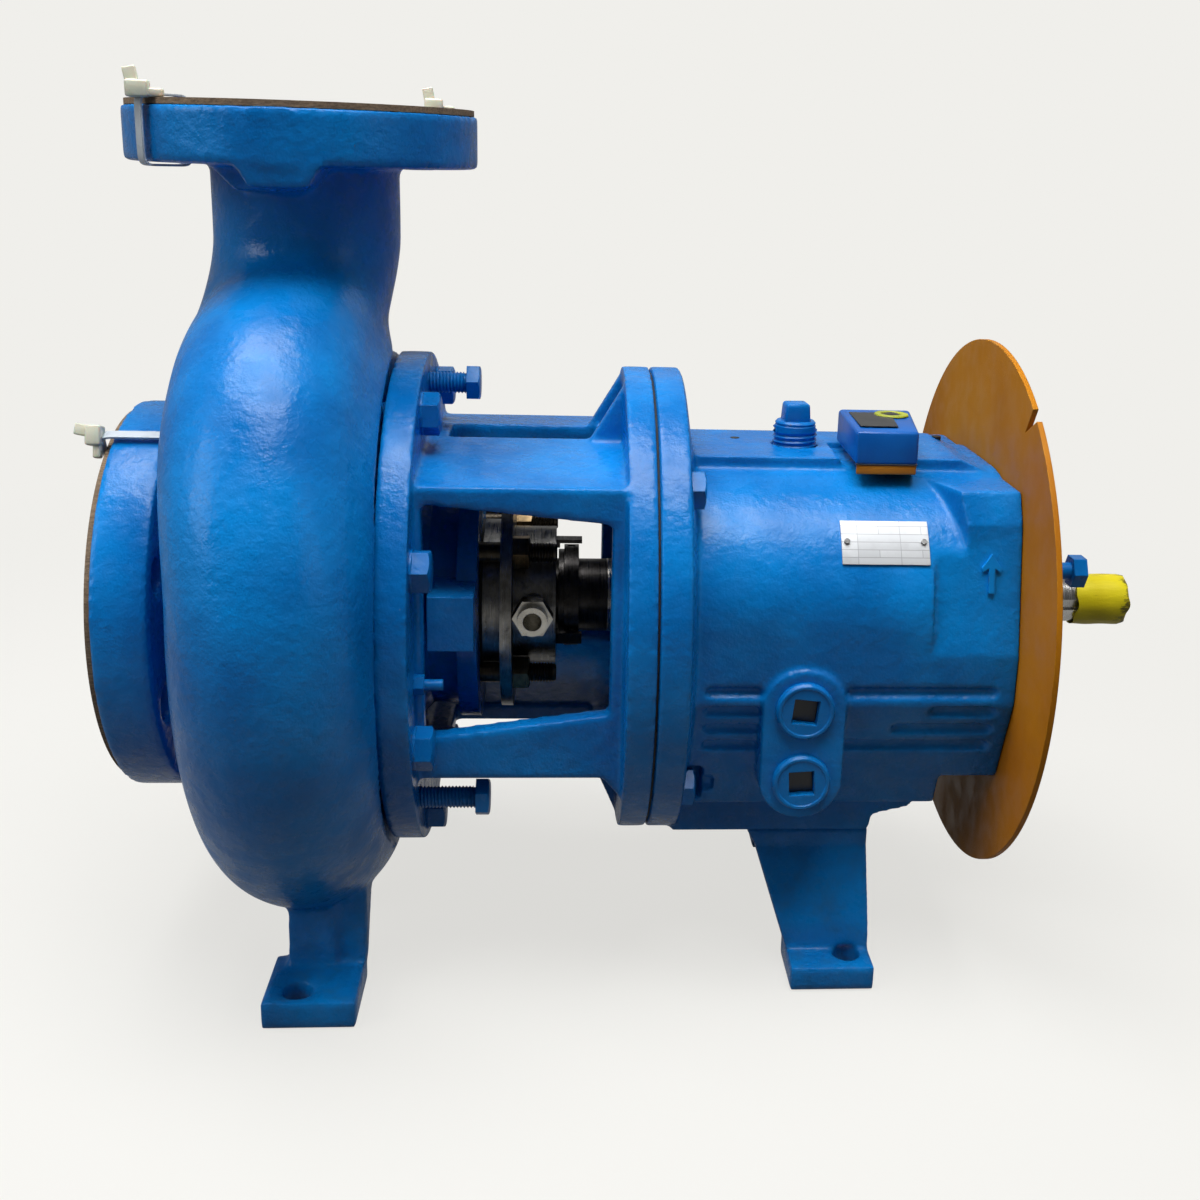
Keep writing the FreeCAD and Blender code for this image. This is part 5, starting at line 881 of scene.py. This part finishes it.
def tie(name, centre, long_way, tall_way, half_long, half_tall, head, head_axis, tail_way):
    """A cable tie: strap, square head with its slot, and the cut tail."""
    strap = bmesh.new()
    band(strap, centre, long_way, tall_way, half_long, half_tall)
    new_piece(name + "_strap", strap, tie_white)
    side = head_axis.cross(tail_way).normalized()
    forward = side.cross(head_axis)
    upright = Matrix.Translation(head) @ Matrix((forward, side, head_axis)).transposed().to_4x4()
    leaning = upright @ Matrix.Rotation(-0.18, 4, "Y")
    shape = bmesh.new()
    for low, high, bevel, place in (
            ((-0.0056, -0.0048, 0), (0.0056, 0.0048, 0.0085), 0.0014, upright),
            ((-0.0042, -0.0022, 0.004), (0.0022, 0.0022, 0.0152), 0.0009, leaning),
            ((0.002, -0.0030, 0.0004), (0.0125, 0.0030, 0.0046), 0.0012, upright)):
        bmesh.ops.transform(shape, matrix=place, verts=soft_block(shape, low, high, bevel))
    new_piece(name, shape, tie_cream)


def make_ties():
    """Two ties round the discharge flange and its board, one round the suction flange."""
    flange_back = DISCHARGE_FACE - DISCHARGE_FLANGE
    board_top = DISCHARGE_FACE + BOARD
    middle = (flange_back + board_top) / 2
    for name, quarter in (("discharge_tie_near", 225), ("discharge_tie_far", 49)):
        angle = math.radians(quarter)
        out = Vector((math.cos(angle), math.sin(angle), 0))
        rim = out * 0.0985
        head = Vector((rim.x, rim.y, board_top - 0.0004))
        tie(name, out * 0.0855 + UP * middle, out, UP, 0.0128, 0.0168, head, UP,
            Vector((1, 0.1, 0)))
    angle = math.radians(64)
    out = Vector((0, -math.cos(angle), math.sin(angle)))
    front = SUCTION_FACE - BOARD
    back = SUCTION_FACE + SUCTION_FLANGE
    head = Vector((front - 0.0012, 0, SHAFT)) + out * 0.117
    tie("suction_tie", Vector(((front + back) / 2, 0, SHAFT)) + out * 0.1045, ALONG, out,
        0.0185, 0.0128, head, -ALONG, Vector((0, -0.3, -1)))


# Monitor
def make_monitor():
    """A rounded plastic cap with a sloped front edge, a bare label plate and a light ring."""
    low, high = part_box("monitor_body")
    base_low, base_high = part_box("monitor_base")
    cap_swing = 0.0015
    base_swing = 0.016
    edge = 0.004
    seam = 0.0004
    margin = 0.012
    lens = 0.0058

    def flare(verts, swing):
        """Wider toward the far side, as seen from above."""
        for vert in verts:
            back = (vert.co.y - low.y) / (high.y - low.y)
            right = (vert.co.x - low.x) / (high.x - low.x)
            vert.co.x += (1 - right) * (0.0035 + swing * back) + right * 0.010 * back

    shape = bmesh.new()
    verts = soft_block(shape, low, high, 0.0022)
    for vert in verts:
        if vert.co.z > high.z - edge and vert.co.y < low.y + edge:
            vert.co.y += 0.0022
            vert.co.z -= 0.0012
    flare(verts, cap_swing)
    new_piece("monitor_cap", shape, blue_plastic, replaced=("monitor_body",))
    shape = bmesh.new()
    flare(soft_block(shape, base_low, base_high + UP * 0.0002, 0.001), base_swing)
    new_piece("monitor_foot", shape, orange_plastic,
              replaced=("monitor_base",))
    shape = bmesh.new()
    flare(soft_block(shape, (base_low.x - seam, base_low.y - seam, base_high.z - 0.0001),
                     (base_high.x + seam, base_high.y, base_high.z + 0.0007), 0.0002, 1),
          base_swing)
    new_piece("monitor_seam", shape, label_black_and_painted_shade)
    shape = bmesh.new()
    flare(soft_block(shape, (low.x + edge, low.y + margin, high.z - 0.0004),
                     (high.x - margin, high.y - margin, high.z + 0.0003), 0.0003, 1), cap_swing)
    new_piece("monitor_label", shape, label_black_and_painted_shade)
    shape = bmesh.new()
    lamp = Vector(((low.x + high.x) / 2 + 0.014, high.y - 0.018, high.z + 0.0001))
    spun(shape, lamp, UP, ((0, lens), (0.0008, 0.0062), (0.0008, 0.0098), (0, 0.0102)))
    new_piece("monitor_ring", shape, ring_green)
    shape = bmesh.new()
    spun(shape, lamp, UP, ((0.0012, 0), (0.0010, 0.0035), (0, lens)))
    new_piece("monitor_lamp", shape, label_black_and_painted_shade)


# Marks on the bearing frame
def near_skin(tree, along, height):
    """Where a level line from the near side meets a casting."""
    hit = tree.ray_cast(Vector((along, -0.2, height)), INWARD)
    return hit[0].y


def make_arrow():
    """A raised arrow that shows which way the shaft turns."""
    middle = 0.3825
    foot = SHAFT + 0.034
    half = 0.0050
    stem = 0.0017
    neck = 0.0125
    barb = neck - 0.0022
    corners = ((-stem, 0), (stem, 0), (stem, neck), (half, barb), (half + 0.0006, neck),
               (0, 0.0195), (-half - 0.0006, neck), (-half, barb), (-stem, neck))
    solid = bmesh.new()
    solid.from_mesh(nodes["bearing_frame"].data)
    fade_corners(solid)
    tree = BVHTree.FromBMesh(solid)
    solid.free()
    shape = bmesh.new()
    ring = []
    for across, up in corners:
        along = middle + across
        height = foot + up * 1.1
        ring.append(shape.verts.new((along, near_skin(tree, along, height) + 0.001, height)))
    face = shape.faces.new(ring)
    made = bmesh.ops.extrude_face_region(shape, geom=[face])
    raised = [item for item in made["geom"] if isinstance(item, bmesh.types.BMVert)]
    bmesh.ops.translate(shape, vec=(0, -0.0026, 0), verts=raised)
    new_piece("rotation_arrow", shape, smooth_blue)


def make_plugs():
    """Turned side plugs: a chamfered rim, a low step and a deep square socket, with a black plate
    on the socket's floor as painted shade.
    """
    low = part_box("side_plugs")[0]
    steps = 64
    rim = 0.0112
    sunk = 0.0006
    half = 0.0072
    inset = half * 0.96
    shape = bmesh.new()
    dark = bmesh.new()
    for count, drop in enumerate((0.0315, 0.0743)):
        face = Vector((0.2804, low.y, SHAFT - drop))
        place = Matrix.Translation(face) @ Matrix.Rotation(0.10 - 0.16 * count, 4, "Y")
        spun(shape, face + INWARD * 0.004, -INWARD, (
            (-0.008, 0.0165), (0.0024, 0.0165), (0.0040, 0.0152), (0.0040, 0.0138),
            (0.0034, 0.0134), (0.0034, rim)), steps)
        ring = []
        mouth = []
        floor = []
        for number in range(steps):
            angle = math.tau * number / steps
            around = Vector((math.cos(angle), 0, math.sin(angle)))
            ring.append(shape.verts.new(face + around * rim + INWARD * sunk))
            reach = half / max(abs(around.x), abs(around.z))
            corner = place @ (around * reach + INWARD * sunk)
            mouth.append(shape.verts.new(corner))
            floor.append(shape.verts.new(corner + INWARD * 0.0062))
        for number in range(steps):
            following = (number + 1) % steps
            shape.faces.new((ring[number], ring[following], mouth[following], mouth[number]))
            shape.faces.new((mouth[number], mouth[following], floor[following], floor[number]))
        shape.faces.new(floor)
        # A black plate on each socket's floor: painted shade in the deep socket.
        socket_shade_plate = soft_block(dark, (-inset, 0.0058, -inset), (inset, 0.0064, inset), 0.0002, 1)
        bmesh.ops.transform(dark, matrix=place, verts=socket_shade_plate)
    new_piece("side_plugs_made", shape, smooth_blue, replaced=("side_plugs",))
    new_piece("side_plug_socket_shade", dark, label_black_and_painted_shade)


def make_pad_hole_shade():
    """Two small black discs just proud of the top pad: painted shade where its two holes are."""
    radius = 0.0028
    shape = bmesh.new()
    for along, across in ((0.250, 0.014), (0.3795, 0.029)):
        top = Vector((along, across, PAD_TOP + 0.0002))
        rod(shape, top - UP * 0.01, top, radius)
    new_piece("pad_hole_shade", shape, steel_black_and_hole_shade)


make_tape()
make_ties()
make_monitor()
make_arrow()
make_plugs()
make_pad_hole_shade()
